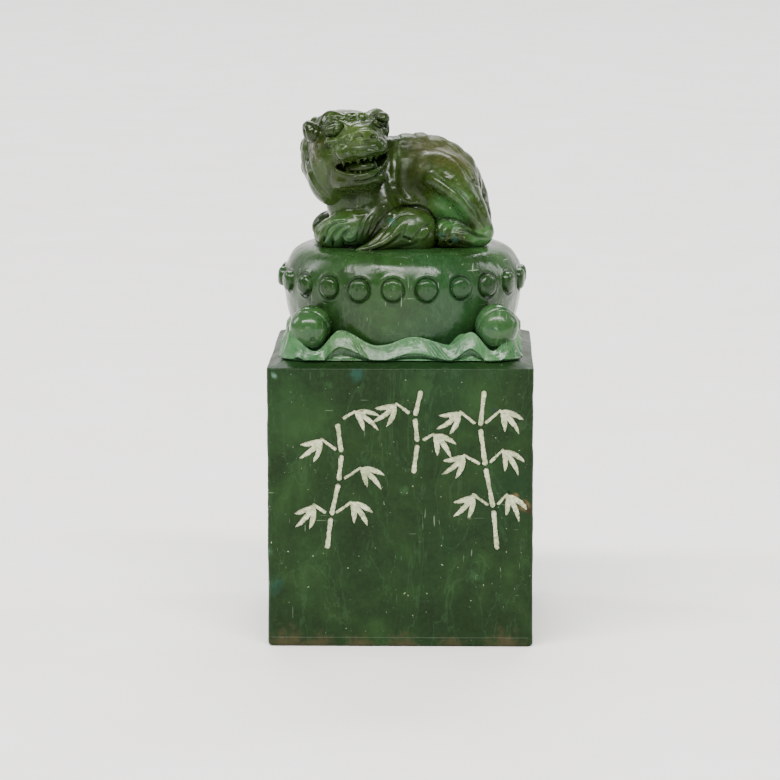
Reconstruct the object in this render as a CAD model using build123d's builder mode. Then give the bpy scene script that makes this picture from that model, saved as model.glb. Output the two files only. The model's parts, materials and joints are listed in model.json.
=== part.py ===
from build123d import *
from math import acos, atan2, cos, pi, radians, sin, sqrt
import os

# Carved stone seal. A square block carries the seal face underneath and an incised spray
# on its front. Its knob is a nail-studded drum in a rippled skirt, with a crouching lion.
# Millimetres. +Z is up, +X is right, the incised face looks towards -Y.
# The origin is the centre of the seal face, on the surface that the seal stands on.

# Block
stone_width = 36.0
block_height = 38.3
stone_edge_round = 0.8
foot_round = 0.5
shoulder_rise = 0.65
shoulder_run = 2.0

# Seal face, a raised fret inside a border
relief_height = 1.2
border_width = 1.7
fret_line = 1.3
fret_gap = 1.3

# Incised spray on the front face
groove_depth = 0.45
fill_depth = 0.30
stem_width = 0.62
twig_width = 0.42
leaf_length = 4.1
leaf_width = 0.72
stem_gap = 0.45

# Rippled skirt and its corner balls
skirt_width = 32.6
skirt_corner_round = 3.2
skirt_crest = 4.1
skirt_wall = 5.0
rim_radius = 0.75
rim_overhang = 0.35
ball_radius = 3.05
ball_seat = 1.35

# Drum and its nails
drum_foot_radius = 14.2
drum_belly_radius = 16.5
drum_lip_radius = 14.6
drum_top_radius = 11.9
drum_height = 14.25
nail_count = 22
nail_radius = 1.4
nail_rise = 0.75
nail_turn = -3.3

# Lion
lion_length = 26.0
lion_depth = 18.0
lion_height = 19.0
head_size = 10.8
head_yaw = 18

# Levels worked out from the sizes above
skirt_foot = block_height + shoulder_rise
drum_top = skirt_foot + drum_height
half_width = stone_width / 2
half_skirt = skirt_width / 2
overrun = drum_height / 5
front_face = Plane.XZ.offset(half_width)


# Shared shapes
def add_taper(start, end, start_radius, end_radius, mode=Mode.ADD):
    """Adds a round limb with ball ends, its half profile turned about its own line."""
    start = Vector(start)
    along = Vector(end) - start
    span = along.length
    slope = (start_radius - end_radius) / span
    flank = sqrt(1 - slope**2)
    touch_angle = acos(slope)
    back_angle = (pi + touch_angle) / 2
    nose_angle = touch_angle / 2
    limb_plane = Plane(origin=start, x_dir=along, z_dir=along.cross(Vector(0, 1, 0)))
    back_touch = (start_radius * slope, start_radius * flank)
    nose_touch = (span + end_radius * slope, end_radius * flank)
    back_middle = (start_radius * cos(back_angle), start_radius * sin(back_angle))
    nose_middle = (span + end_radius * cos(nose_angle), end_radius * sin(nose_angle))
    with BuildSketch(limb_plane, mode=Mode.PRIVATE) as profile:
        with BuildLine():
            ThreePointArc((-start_radius, 0), back_middle, back_touch)
            Line(back_touch, nose_touch)
            ThreePointArc(nose_touch, nose_middle, (span + end_radius, 0))
            Line((span + end_radius, 0), (-start_radius, 0))
        make_face()
    revolve(profile.sketch, axis=Axis(start, along), mode=mode)


def add_limb(points, radii, mode=Mode.ADD):
    """Adds tapers from joint to joint. Each later taper starts a little thinner."""
    start_radius = radii[0]
    for start, end, end_radius in zip(points, points[1:], radii[1:]):
        add_taper(start, end, start_radius, end_radius, mode)
        start_radius = end_radius * joint_share


def add_ellipsoid(centre, sizes, turn=(0, 0, 0), mode=Mode.ADD):
    """Adds an egg of the given half sizes at a point."""
    unit_egg = scale(Sphere(1, mode=Mode.PRIVATE), by=tuple(sizes), mode=Mode.PRIVATE)
    add(unit_egg.moved(Location(tuple(centre), turn)), mode=mode)


def cut_by(*neighbours):
    """Takes the larger neighbours' space out of the part being built."""
    for neighbour in neighbours:
        add(neighbour.part, mode=Mode.SUBTRACT)


def keep_largest():
    """Drops the crumbs that a cut leaves behind."""
    largest = solids().sort_by(SortBy.VOLUME)[-1]
    add(largest, mode=Mode.REPLACE)


def finish(builder, name):
    """Names a finished sub-part and writes it."""
    builder.part.label = name
    export_step(builder.part, "parts/" + name + ".step")


# Spray on the front face: places are shares of the block's width, from its bottom centre
joint_share = 0.97
stem_shares = [
    [(0.365, 0.37), (0.350, 0.53), (0.320, 0.69), (0.300, 0.84), (0.315, 0.985)],
    [(0.050, 0.66), (0.065, 0.78), (0.055, 0.88), (0.080, 0.985)],
    [(-0.275, 0.37), (-0.260, 0.50), (-0.230, 0.63), (-0.220, 0.74), (-0.235, 0.86)],
]
twig_shares = [
    ((0.350, 0.53), (0.400, 0.585), -62),
    ((0.350, 0.53), (0.275, 0.585), -128),
    ((0.320, 0.69), (0.385, 0.755), -55),
    ((0.320, 0.69), (0.240, 0.735), -135),
    ((0.300, 0.84), (0.375, 0.905), -48),
    ((0.300, 0.84), (0.225, 0.900), -140),
    ((0.065, 0.78), (0.125, 0.815), -50),
    ((0.055, 0.88), (-0.015, 0.930), -138),
    ((-0.260, 0.50), (-0.185, 0.555), -52),
    ((-0.260, 0.50), (-0.325, 0.545), -125),
    ((-0.230, 0.63), (-0.150, 0.685), -42),
    ((-0.220, 0.74), (-0.295, 0.795), -135),
    ((-0.235, 0.86), (-0.170, 0.900), -35),
]
leaf_fan = [(-30, 0.72), (-4, 1.0), (25, 0.84)]
leaf_bow_share = 0.07


def add_stroke(start, end, width):
    """Adds one straight round-ended cut between two points of a face."""
    start = Vector(start)
    end = Vector(end)
    along = end - start
    middle = (start + end) / 2
    turn = Vector(1, 0, 0).get_signed_angle(along, Vector(0, 0, 1))
    with Locations(Location((middle.X, middle.Y, 0), (0, 0, turn))):
        SlotCenterToCenter(along.length, width)


def add_leaf(base, heading, length, width):
    """Adds one bowed lens-shaped leaf that starts at a point and ends in a tip."""
    tip = (length, 0)
    bow = length * leaf_bow_share
    with BuildSketch(mode=Mode.PRIVATE) as leaf:
        with BuildLine():
            ThreePointArc((0, 0), (length / 2, bow + width / 2), tip)
            ThreePointArc(tip, (length / 2, bow - width / 2), (0, 0))
        make_face()
    add(leaf.sketch.moved(Location((base[0], base[1], 0), (0, 0, heading))))


def add_spray():
    """Draws the stems, twigs and leaves on the sketch being built."""
    for stem in stem_shares:
        for low, high in zip(stem, stem[1:]):
            start = Vector(low[0] * stone_width, low[1] * stone_width)
            end = Vector(high[0] * stone_width, high[1] * stone_width)
            gap = (end - start).normalized() * (stem_gap + stem_width) / 2
            add_stroke(start + gap, end - gap, stem_width)
    for low, high, heading in twig_shares:
        start = Vector(low[0] * stone_width, low[1] * stone_width)
        end = Vector(high[0] * stone_width, high[1] * stone_width)
        clear = (end - start).normalized() * (stem_width + stem_gap)
        add_stroke(start + clear, end, twig_width)
        for spread, length_share in leaf_fan:
            add_leaf((end.X, end.Y), heading + spread, leaf_length * length_share, leaf_width)


with BuildSketch(front_face) as spray_plan:
    add_spray()

# Seal block: plain square stone with a low sloped shoulder, cut for the spray
with BuildPart() as seal_block:
    with BuildSketch(Plane.XY.offset(relief_height)) as block_plan:
        RectangleRounded(stone_width, stone_width, stone_edge_round)
    extrude(amount=block_height - relief_height)
    with BuildSketch(Plane.XY.offset(block_height)) as arris_plan:
        RectangleRounded(stone_width, stone_width, stone_edge_round)
    with BuildSketch(Plane.XY.offset(skirt_foot)) as shoulder_plan:
        shoulder_width = stone_width - 2 * shoulder_run
        RectangleRounded(shoulder_width, shoulder_width, stone_edge_round)
    loft()
    extrude(spray_plan.sketch, amount=-groove_depth, mode=Mode.SUBTRACT)
finish(seal_block, "seal_block")

# Pale fill at the bottom of the cuts
with BuildPart() as ornament_fill:
    sunk_spray = spray_plan.sketch.moved(Location((0, groove_depth, 0)))
    extrude(sunk_spray, amount=fill_depth)
finish(ornament_fill, "ornament_fill")


# Seal face: four square spirals joined to a border, all standing proud of the block
def add_fret(corner, turns):
    """Draws one square spiral inwards from a corner of the border."""
    pitch = fret_line + fret_gap
    x, y = corner
    run = abs(corner[0]) - pitch / 2
    points = [Vector(x + fret_line / 2, y - pitch)]
    heading = Vector(-1, 0)
    length = run + fret_line / 2
    for leg in range(turns):
        points.append(points[-1] + heading * length)
        heading = Vector(-heading.Y, heading.X)
        length = run - pitch * (leg // 2 + 1)
    for start, end in zip(points, points[1:]):
        middle = (start + end) / 2
        along = end - start
        with Locations((middle.X, middle.Y)):
            Rectangle(abs(along.X) + fret_line, abs(along.Y) + fret_line)


with BuildPart() as seal_face:
    with BuildSketch() as face_plan:
        RectangleRounded(stone_width, stone_width, stone_edge_round)
        clear_width = stone_width - 2 * border_width
        Rectangle(clear_width, clear_width, mode=Mode.SUBTRACT)
        add_fret((clear_width / 2, clear_width / 2), 9)
        mirror(about=Plane.YZ)
        mirror(about=Plane.XZ)
    extrude(amount=relief_height)
    outer_edges = edges().filter_by(Plane.XY).group_by(Axis.Z)[0]
    outline = outer_edges.filter_by(lambda edge: max(
        abs(edge.center().X), abs(edge.center().Y)) > half_width - stone_edge_round)
    fillet(outline, radius=foot_round)
finish(seal_face, "seal_face")

# Drum: one turned profile, swelling to the nail row and stepping in to a flat top
with BuildPart() as drum:
    belly_level = skirt_foot + drum_height * 0.60
    lip_level = skirt_foot + drum_height * 0.93
    low_middle = (drum_foot_radius * 0.25 + drum_belly_radius * 0.75, skirt_foot + drum_height * 0.25)
    high_middle = (drum_belly_radius * 0.72 + drum_lip_radius * 0.28, skirt_foot + drum_height * 0.79)
    with BuildSketch(Plane.XZ) as drum_profile:
        with BuildLine():
            ThreePointArc((drum_foot_radius, skirt_foot), low_middle, (drum_belly_radius, belly_level))
            ThreePointArc((drum_belly_radius, belly_level), high_middle, (drum_lip_radius, lip_level))
            Line((drum_lip_radius, lip_level), (drum_top_radius, drum_top))
            Line((drum_top_radius, drum_top), (0, drum_top))
            Line((0, drum_top), (0, skirt_foot))
            Line((0, skirt_foot), (drum_foot_radius, skirt_foot))
        make_face()
    revolve(axis=Axis.Z)
finish(drum, "drum")

# Nails: a ring of low domes round the drum's belly
with BuildPart() as drum_nails:
    dome_radius = (nail_radius**2 + nail_rise**2) / (2 * nail_rise)
    nail_ring = drum_belly_radius + nail_rise - dome_radius
    nail_level = skirt_foot + drum_height * 0.68
    for nail in range(nail_count):
        bearing = radians(360 * nail / nail_count + nail_turn)
        with Locations((nail_ring * sin(bearing), -nail_ring * cos(bearing), nail_level)):
            Sphere(dome_radius)
    cut_by(drum)
finish(drum_nails, "drum_nails")

# Corner balls, in the order front left, front right, rear right, rear left
ball_places = {
    "corner_ball_front_left": (-0.372, -0.400, 0.93),
    "corner_ball_front_right": (0.396, -0.400, 1.08),
    "corner_ball_rear_right": (0.385, 0.392, 1.00),
    "corner_ball_rear_left": (-0.385, 0.392, 1.04),
}
corner_balls = []
for name, (x_share, y_share, lift_share) in ball_places.items():
    with BuildPart() as corner_ball:
        ball_level = skirt_foot + ball_seat * lift_share + ball_radius
        ball_centre = (x_share * skirt_width, y_share * skirt_width, ball_level)
        outward = Vector(1, 0, 0).get_signed_angle(Vector(x_share, y_share, 0), Vector(0, 0, 1))
        with Locations(Location(ball_centre, (0, 0, outward))):
            Sphere(ball_radius)
        cut_by(drum)
    finish(corner_ball, name)
    corner_balls.append(corner_ball)

# Skirt: one rippled wall a side, mitred at the corners, with a rolled rim along its top.
# Each ripple row holds shares of half the skirt's width and of the crest's height.
ripple_shares = {
    "wave_skirt_front": [
        (-1.0, 1.0), (-0.74, 0.31), (-0.52, 1.0), (-0.20, 0.50), (0.12, 0.80),
        (0.43, 0.52), (0.61, 0.96), (0.80, 0.33), (1.0, 1.0)],
    "wave_skirt_right": [
        (-1.0, 1.0), (-0.76, 0.33), (-0.52, 0.95), (-0.22, 0.50), (0.06, 0.85),
        (0.34, 0.50), (0.58, 0.95), (0.79, 0.33), (1.0, 1.0)],
    "wave_skirt_rear": [
        (-1.0, 1.0), (-0.78, 0.33), (-0.56, 0.95), (-0.28, 0.52), (0.02, 0.85),
        (0.30, 0.50), (0.55, 1.0), (0.78, 0.33), (1.0, 1.0)],
    "wave_skirt_left": [
        (-1.0, 1.0), (-0.77, 0.33), (-0.54, 1.0), (-0.25, 0.50), (0.04, 0.80),
        (0.36, 0.52), (0.60, 0.95), (0.80, 0.33), (1.0, 1.0)],
}


def side_face(side, distance):
    """Gives the plane that looks out of a side: 0 front, 1 right, 2 rear, 3 left."""
    bearing = radians(90 * side)
    across = (cos(bearing), sin(bearing), 0)
    return Plane(origin=(0, 0, 0), x_dir=across, z_dir=(sin(bearing), -cos(bearing), 0)).offset(distance)


def add_ripple(turns):
    """Draws the rippled edge: a pair of level-ended arcs from each turn to the next."""
    for start, end in zip(turns, turns[1:]):
        half_run = (end[0] - start[0]) / 2
        half_lift = (end[1] - start[1]) / 2
        lean = atan2(half_lift, half_run)
        bend = half_run / sin(2 * lean)
        middle = (start[0] + half_run, start[1] + half_lift)
        early = (start[0] + bend * sin(lean), start[1] + bend * (1 - cos(lean)))
        late = (2 * middle[0] - early[0], 2 * middle[1] - early[1])
        ThreePointArc(start, early, middle)
        ThreePointArc(middle, late, end)


skirt_walls = []
for side, (name, shares) in enumerate(ripple_shares.items()):
    side_plane = side_face(side, half_skirt - rim_overhang)
    rim_plane = side_face(side, half_skirt - rim_radius)
    turns = [(x * half_skirt, skirt_foot + z * skirt_crest - rim_radius) for x, z in shares]
    with BuildPart() as skirt_wall_side:
        with BuildSketch(side_plane) as wall_profile:
            with BuildLine():
                add_ripple(turns)
                Line(turns[-1], (half_skirt, skirt_foot))
                Line((half_skirt, skirt_foot), (-half_skirt, skirt_foot))
                Line((-half_skirt, skirt_foot), turns[0])
            make_face()
        extrude(amount=-skirt_wall)
        with BuildLine(rim_plane) as rim_path:
            add_ripple(turns)
        rim_start = Plane(origin=rim_path.line @ 0, z_dir=rim_path.line % 0)
        with BuildSketch(rim_start) as rim_section:
            Circle(rim_radius)
        sweep(path=rim_path.line)
        with BuildSketch(Plane.XY.offset(skirt_foot)) as side_plan:
            RectangleRounded(skirt_width, skirt_width, skirt_corner_round)
            wedge = [(0, 0), (-half_width, -half_width), (half_width, -half_width)]
            Polygon(*wedge, rotation=90 * side, align=None, mode=Mode.INTERSECT)
        extrude(amount=skirt_crest + overrun, mode=Mode.INTERSECT)
        cut_by(drum, *corner_balls)
        keep_largest()
    finish(skirt_wall_side, name)
    skirt_walls.append(skirt_wall_side)

# Lion: it crouches facing -X on the drum's flat top and turns its head to the front.
# Its places are shares of its length and depth, and of its height above the drum.
# Its radii are shares of its height.
left_side = -1
right_side = 1
half_turn = 180


def lion_point(x_share, y_share, z_share):
    return Vector(x_share * lion_length, y_share * lion_depth, drum_top + z_share * lion_height)


def lion_radii(shares):
    return [share * lion_height for share in shares]


def add_lion_limb(place_shares, radius_shares):
    """Adds a jointed limb from tables of place shares and radius shares."""
    add_limb([lion_point(*place) for place in place_shares], lion_radii(radius_shares))


def add_lion_egg(place_shares, size_shares, turn=(0, 0, 0)):
    add_ellipsoid(lion_point(*place_shares), lion_radii(size_shares), turn)


# Torso: rump, barrel and shoulders, with the web of stone left under the belly
with BuildPart() as lion_torso:
    add_lion_egg((0.12, 0.05, 0.36), (0.41, 0.34, 0.40))
    add_lion_egg((-0.12, 0.02, 0.38), (0.33, 0.31, 0.37))
    with BuildSketch(Plane.XY.offset(drum_top)) as belly_plan:
        Ellipse(0.34 * lion_length, 0.30 * lion_depth)
    extrude(amount=lion_height * 0.30)
    cut_by(drum)
    keep_largest()
finish(lion_torso, "lion_torso")

# Hind legs: haunch, bent knee, heel and long foot lying forwards
hind_leg_shares = {
    "left_hind_leg": [
        [(0.16, -0.22, 0.43), (0.31, -0.29, 0.27), (0.43, -0.24, 0.095)],
        [(0.42, -0.25, 0.09), (0.26, -0.34, 0.085)]],
    "right_hind_leg": [
        [(0.16, 0.26, 0.40), (0.31, 0.34, 0.23), (0.41, 0.31, 0.10)],
        [(0.40, 0.32, 0.09), (0.24, 0.40, 0.085)]],
}
hind_legs = []
for name, (upper, foot) in hind_leg_shares.items():
    with BuildPart() as hind_leg:
        add_lion_limb(upper, (0.23, 0.165, 0.10))
        add_lion_limb(foot, (0.105, 0.085))
        cut_by(drum, lion_torso)
        keep_largest()
    finish(hind_leg, name)
    hind_legs.append(hind_leg)
left_hind_leg, right_hind_leg = hind_legs

# Fore legs: shoulder, elbow, wrist and paw, both paws pointing forwards
fore_leg_shares = {
    "left_fore_leg": [(-0.16, -0.20, 0.38), (-0.10, -0.31, 0.21), (-0.28, -0.34, 0.125), (-0.37, -0.29, 0.105)],
    "right_fore_leg": [(-0.19, 0.20, 0.35), (-0.15, 0.29, 0.19), (-0.31, 0.27, 0.12), (-0.39, 0.20, 0.105)],
}
fore_legs = []
for name, places in fore_leg_shares.items():
    with BuildPart() as fore_leg:
        add_lion_limb(places, (0.19, 0.13, 0.105, 0.115))
        cut_by(drum, lion_torso, left_hind_leg, right_hind_leg)
        keep_largest()
    finish(fore_leg, name)
    fore_legs.append(fore_leg)
left_fore_leg, right_fore_leg = fore_legs

# Chest between the fore legs
with BuildPart() as lion_chest:
    add_lion_egg((-0.24, -0.17, 0.32), (0.22, 0.19, 0.23))
    cut_by(lion_torso, left_fore_leg, right_fore_leg, drum)
    keep_largest()
finish(lion_chest, "lion_chest")

# Head: its places are shares of the head's size, across, back from the face, and up
head_centre = lion_point(-0.28, -0.172, 0.695)
head_plane = Plane(
    origin=head_centre,
    x_dir=(cos(radians(head_yaw)), sin(radians(head_yaw)), 0),
    z_dir=(0, 0, 1))


def head_point(across_share, back_share, up_share):
    places = Vector(across_share, back_share, up_share) * head_size
    return head_plane.from_local_coords(places)


def head_sizes(shares):
    return [share * head_size for share in shares]


def add_head_egg(place_shares, size_shares, lean=0, mode=Mode.ADD):
    """Adds an egg that turns with the head and leans about its own line of sight."""
    add_ellipsoid(head_point(*place_shares), head_sizes(size_shares), (0, lean, head_yaw), mode)


def add_head_limb(place_shares, radius_shares):
    """Adds a jointed roll of the head from tables of shares."""
    add_limb([head_point(*place) for place in place_shares], head_sizes(radius_shares))


with BuildPart() as lion_head:
    add_head_egg((0, 0, 0.02), (0.50, 0.48, 0.49))
    add_head_egg((-0.24, -0.24, -0.06), (0.21, 0.20, 0.22))
    add_head_egg((0.24, -0.24, -0.06), (0.21, 0.20, 0.22))
    cut_by(lion_torso, lion_chest, left_fore_leg, right_fore_leg)
    keep_largest()
finish(lion_head, "lion_head")

# Upper jaw with its flews, over the open mouth
with BuildPart() as upper_jaw:
    add_head_egg((0, -0.46, 0.07), (0.31, 0.24, 0.18))
    add_head_egg((-0.15, -0.58, 0.03), (0.17, 0.13, 0.12))
    add_head_egg((0.15, -0.58, 0.03), (0.17, 0.13, 0.12))
    cut_by(lion_head)
    keep_largest()
finish(upper_jaw, "upper_jaw")

# Lower jaw, held open below it
with BuildPart() as lower_jaw:
    add_head_egg((0, -0.37, -0.32), (0.34, 0.27, 0.155))
    cut_by(lion_head, upper_jaw, lion_chest, lion_torso, left_fore_leg, right_fore_leg)
    keep_largest()
finish(lower_jaw, "lower_jaw")

# Tongue lying in the open mouth
with BuildPart() as tongue:
    add_head_egg((0, -0.41, -0.17), (0.19, 0.22, 0.09))
    cut_by(lion_head, upper_jaw, lower_jaw)
    keep_largest()
finish(tongue, "tongue")

# Teeth: two fangs and a row of small teeth under the upper jaw
tooth_shares = [(-0.25, 0.050), (-0.14, 0.030), (-0.05, 0.030), (0.05, 0.030), (0.14, 0.030), (0.25, 0.050)]
with BuildPart() as teeth:
    for across_share, width_share in tooth_shares:
        back_share = -0.62 + across_share**2 * 2.4
        root = head_point(across_share, back_share, -0.05)
        tip = head_point(across_share, back_share, -0.08 - width_share)
        add_taper(root, tip, width_share * head_size, width_share * head_size * 0.6)
    cut_by(lion_head, upper_jaw, lower_jaw, tongue)
finish(teeth, "teeth")

# Nose: broad and flat, with two round wings
with BuildPart() as nose:
    add_head_egg((0, -0.63, 0.21), (0.11, 0.10, 0.075))
    add_head_egg((-0.12, -0.60, 0.19), (0.085, 0.08, 0.065))
    add_head_egg((0.12, -0.60, 0.19), (0.085, 0.08, 0.065))
    cut_by(lion_head, upper_jaw)
    keep_largest()
finish(nose, "nose")

# Eyes: two almond bulges under the brows
with BuildPart() as eyes:
    add_head_egg((-0.245, -0.36, 0.265), (0.125, 0.10, 0.080), 8)
    add_head_egg((0.245, -0.36, 0.265), (0.125, 0.10, 0.080), -8)
    cut_by(lion_head, upper_jaw, nose)
finish(eyes, "eyes")

# Brows: two rolled ridges that meet over the nose and end in a curl at each temple
with BuildPart() as brows:
    for side in (left_side, right_side):
        inner = (side * 0.06, -0.47, 0.33)
        arch = (side * 0.19, -0.38, 0.41)
        temple = (side * 0.32, -0.28, 0.41)
        curl = (side * 0.39, -0.21, 0.37)
        add_head_limb([inner, arch, temple, curl], (0.055, 0.080, 0.075, 0.105))
    cut_by(lion_head, upper_jaw, nose, eyes)
finish(brows, "brows")

# Ears: two small leaves lying back beside the brows
with BuildPart() as ears:
    for side in (left_side, right_side):
        add_head_egg((side * 0.50, -0.02, 0.27), (0.10, 0.16, 0.12), side * 25)
    cut_by(lion_head, brows)
finish(ears, "ears")

# Mane: a ruff behind the head, over the neck and shoulders
with BuildPart() as mane:
    add_head_egg((-0.02, 0.30, -0.12), (0.53, 0.36, 0.60))
    cut_by(lion_torso, lion_head, lion_chest, left_fore_leg, right_fore_leg, lower_jaw, ears)
    keep_largest()
finish(mane, "mane")

# Snail curls in rows over the mane
curl_rows = [(0.36, 5, 0.125), (0.06, 6, 0.135), (-0.26, 6, 0.125)]
curl_depth_share = 0.94
with BuildPart() as mane_curls:
    for up_share, curl_count, radius_share in curl_rows:
        rise = (up_share + 0.12) / 0.60
        ring_share = sqrt(1 - rise**2)
        for curl in range(curl_count):
            bearing = radians(-62 + 124 * curl / (curl_count - 1))
            across_share = -0.02 + 0.53 * curl_depth_share * ring_share * sin(bearing)
            back_share = 0.30 + 0.36 * curl_depth_share * ring_share * cos(bearing)
            centre = head_point(across_share, back_share, up_share)
            with Locations(Location(tuple(centre), (0, 0, 90 + head_yaw))):
                Sphere(radius_share * head_size)
    cut_by(mane, lion_head, lion_torso, ears, left_fore_leg, right_fore_leg)
finish(mane_curls, "mane_curls")

# Crest of knobs down the spine
spine_shares = [
    (-0.07, 0.02, 0.725, 0.062), (0.01, 0.03, 0.740, 0.065), (0.09, 0.03, 0.745, 0.068),
    (0.17, 0.03, 0.722, 0.068), (0.25, 0.03, 0.668, 0.065), (0.32, 0.03, 0.595, 0.062)]
with BuildPart() as spine_crest:
    for x_share, y_share, z_share, radius_share in spine_shares:
        knob_centre = lion_point(x_share, y_share, z_share)
        with Locations(Location(tuple(knob_centre), (0, 0, half_turn))):
            Sphere(radius_share * lion_height)
    cut_by(lion_torso, mane, mane_curls)
finish(spine_crest, "spine_crest")

# Tail lying down over the rump
with BuildPart() as lion_tail:
    add_lion_limb(
        [(0.37, 0.10, 0.54), (0.425, 0.13, 0.40), (0.445, 0.12, 0.22), (0.44, 0.04, 0.10)],
        (0.065, 0.072, 0.075, 0.085))
    cut_by(lion_torso, left_hind_leg, right_hind_leg, drum, spine_crest)
    keep_largest()
finish(lion_tail, "lion_tail")

# Plume: the tail's tuft swept forwards under the left flank to a fine tip
with BuildPart() as tail_plume:
    add_lion_limb(
        [(0.14, -0.34, 0.125), (0.02, -0.38, 0.18), (-0.12, -0.44, 0.080), (-0.21, -0.49, 0.025)],
        (0.12, 0.12, 0.065, 0.022))
    cut_by(drum, lion_torso, left_hind_leg, left_fore_leg, lion_chest)
    keep_largest()
finish(tail_plume, "tail_plume")
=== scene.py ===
import json
import math

import bmesh
import bpy
import numpy as np
import openvdb
from mathutils import Matrix, Vector

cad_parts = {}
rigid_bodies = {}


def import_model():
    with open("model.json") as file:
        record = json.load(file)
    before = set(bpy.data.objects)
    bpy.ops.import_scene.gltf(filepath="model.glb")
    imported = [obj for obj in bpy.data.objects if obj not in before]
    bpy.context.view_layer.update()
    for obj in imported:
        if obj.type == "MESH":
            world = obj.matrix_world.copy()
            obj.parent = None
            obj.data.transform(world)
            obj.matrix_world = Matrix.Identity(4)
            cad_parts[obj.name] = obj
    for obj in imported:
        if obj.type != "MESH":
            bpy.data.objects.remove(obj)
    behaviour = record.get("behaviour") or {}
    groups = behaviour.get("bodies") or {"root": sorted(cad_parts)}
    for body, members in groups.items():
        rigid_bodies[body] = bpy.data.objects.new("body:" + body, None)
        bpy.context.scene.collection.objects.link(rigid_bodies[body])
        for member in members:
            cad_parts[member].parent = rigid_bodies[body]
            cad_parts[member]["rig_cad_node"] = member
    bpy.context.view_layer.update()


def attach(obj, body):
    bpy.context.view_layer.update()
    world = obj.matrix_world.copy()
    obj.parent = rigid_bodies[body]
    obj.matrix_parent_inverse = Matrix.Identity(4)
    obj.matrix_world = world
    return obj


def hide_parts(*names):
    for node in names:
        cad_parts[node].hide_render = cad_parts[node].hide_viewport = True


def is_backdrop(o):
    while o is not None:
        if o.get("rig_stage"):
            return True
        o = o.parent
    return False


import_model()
MM = 0.001
UP = np.array([0.0, 0.0, 1.0])


def pick(full):
    return full


def unit(vector):
    return np.asarray(vector, float) / np.linalg.norm(vector)


# Camera at the photograph's viewing angle, all lengths in mm
PHOTO_SIZE = 780
CAMERA_AZIMUTH = math.radians(1.2536)
CAMERA_ELEVATION = math.radians(9.3108)
CAMERA_ROLL = math.radians(-0.0785)
CAMERA_DISTANCE = 521.44
AIM_ACROSS = -1.738
AIM_HEIGHT = 32.43
LENS = 172.72
SENSOR = 36.0
FOCAL_PIXELS = PHOTO_SIZE * LENS / SENSOR

level_right = np.array([math.cos(CAMERA_AZIMUTH), math.sin(CAMERA_AZIMUTH), 0.0])
CAMERA_BACK = np.array([
    math.sin(CAMERA_AZIMUTH) * math.cos(CAMERA_ELEVATION),
    -math.cos(CAMERA_AZIMUTH) * math.cos(CAMERA_ELEVATION),
    math.sin(CAMERA_ELEVATION),
])
level_up = np.cross(CAMERA_BACK, level_right)
CAMERA_RIGHT = level_right * math.cos(CAMERA_ROLL) + level_up * math.sin(CAMERA_ROLL)
CAMERA_UP = level_up * math.cos(CAMERA_ROLL) - level_right * math.sin(CAMERA_ROLL)
CAMERA_PLACE = level_right * AIM_ACROSS + np.array([0, 0, AIM_HEIGHT]) + CAMERA_BACK * CAMERA_DISTANCE


def make_camera():
    data = bpy.data.cameras.new("camera")
    data.lens = LENS
    data.sensor_width = SENSOR
    data.clip_start = 0.01
    data.clip_end = 50.0
    camera = bpy.data.objects.new("camera", data)
    bpy.context.scene.collection.objects.link(camera)
    turn = Matrix((CAMERA_RIGHT, CAMERA_UP, CAMERA_BACK)).transposed().to_4x4()
    camera.matrix_world = Matrix.Translation(Vector(CAMERA_PLACE) * MM) @ turn
    bpy.context.scene.camera = camera


make_camera()


def sight(pixel):
    """The direction from the camera through a pixel of the photograph."""
    across = (pixel[0] - PHOTO_SIZE / 2) / FOCAL_PIXELS
    down = (pixel[1] - PHOTO_SIZE / 2) / FOCAL_PIXELS
    ray = -CAMERA_BACK + CAMERA_RIGHT * across - CAMERA_UP * down
    return unit(ray)


def on_depth(pixel, y):
    """Where the sight line of a pixel crosses a plane at depth y, in mm."""
    ray = sight(pixel)
    return CAMERA_PLACE + ray * ((y - CAMERA_PLACE[1]) / ray[1])


# Colours and node helpers


def srgb(red, green, blue):
    """A linear colour from the 0 to 255 values seen on a screen."""
    shown = np.array([red, green, blue]) / 255.0
    linear = np.where(shown <= 0.04045, shown / 12.92, ((shown + 0.055) / 1.055) ** 2.4)
    return (*[float(v) for v in linear], 1.0)


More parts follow.
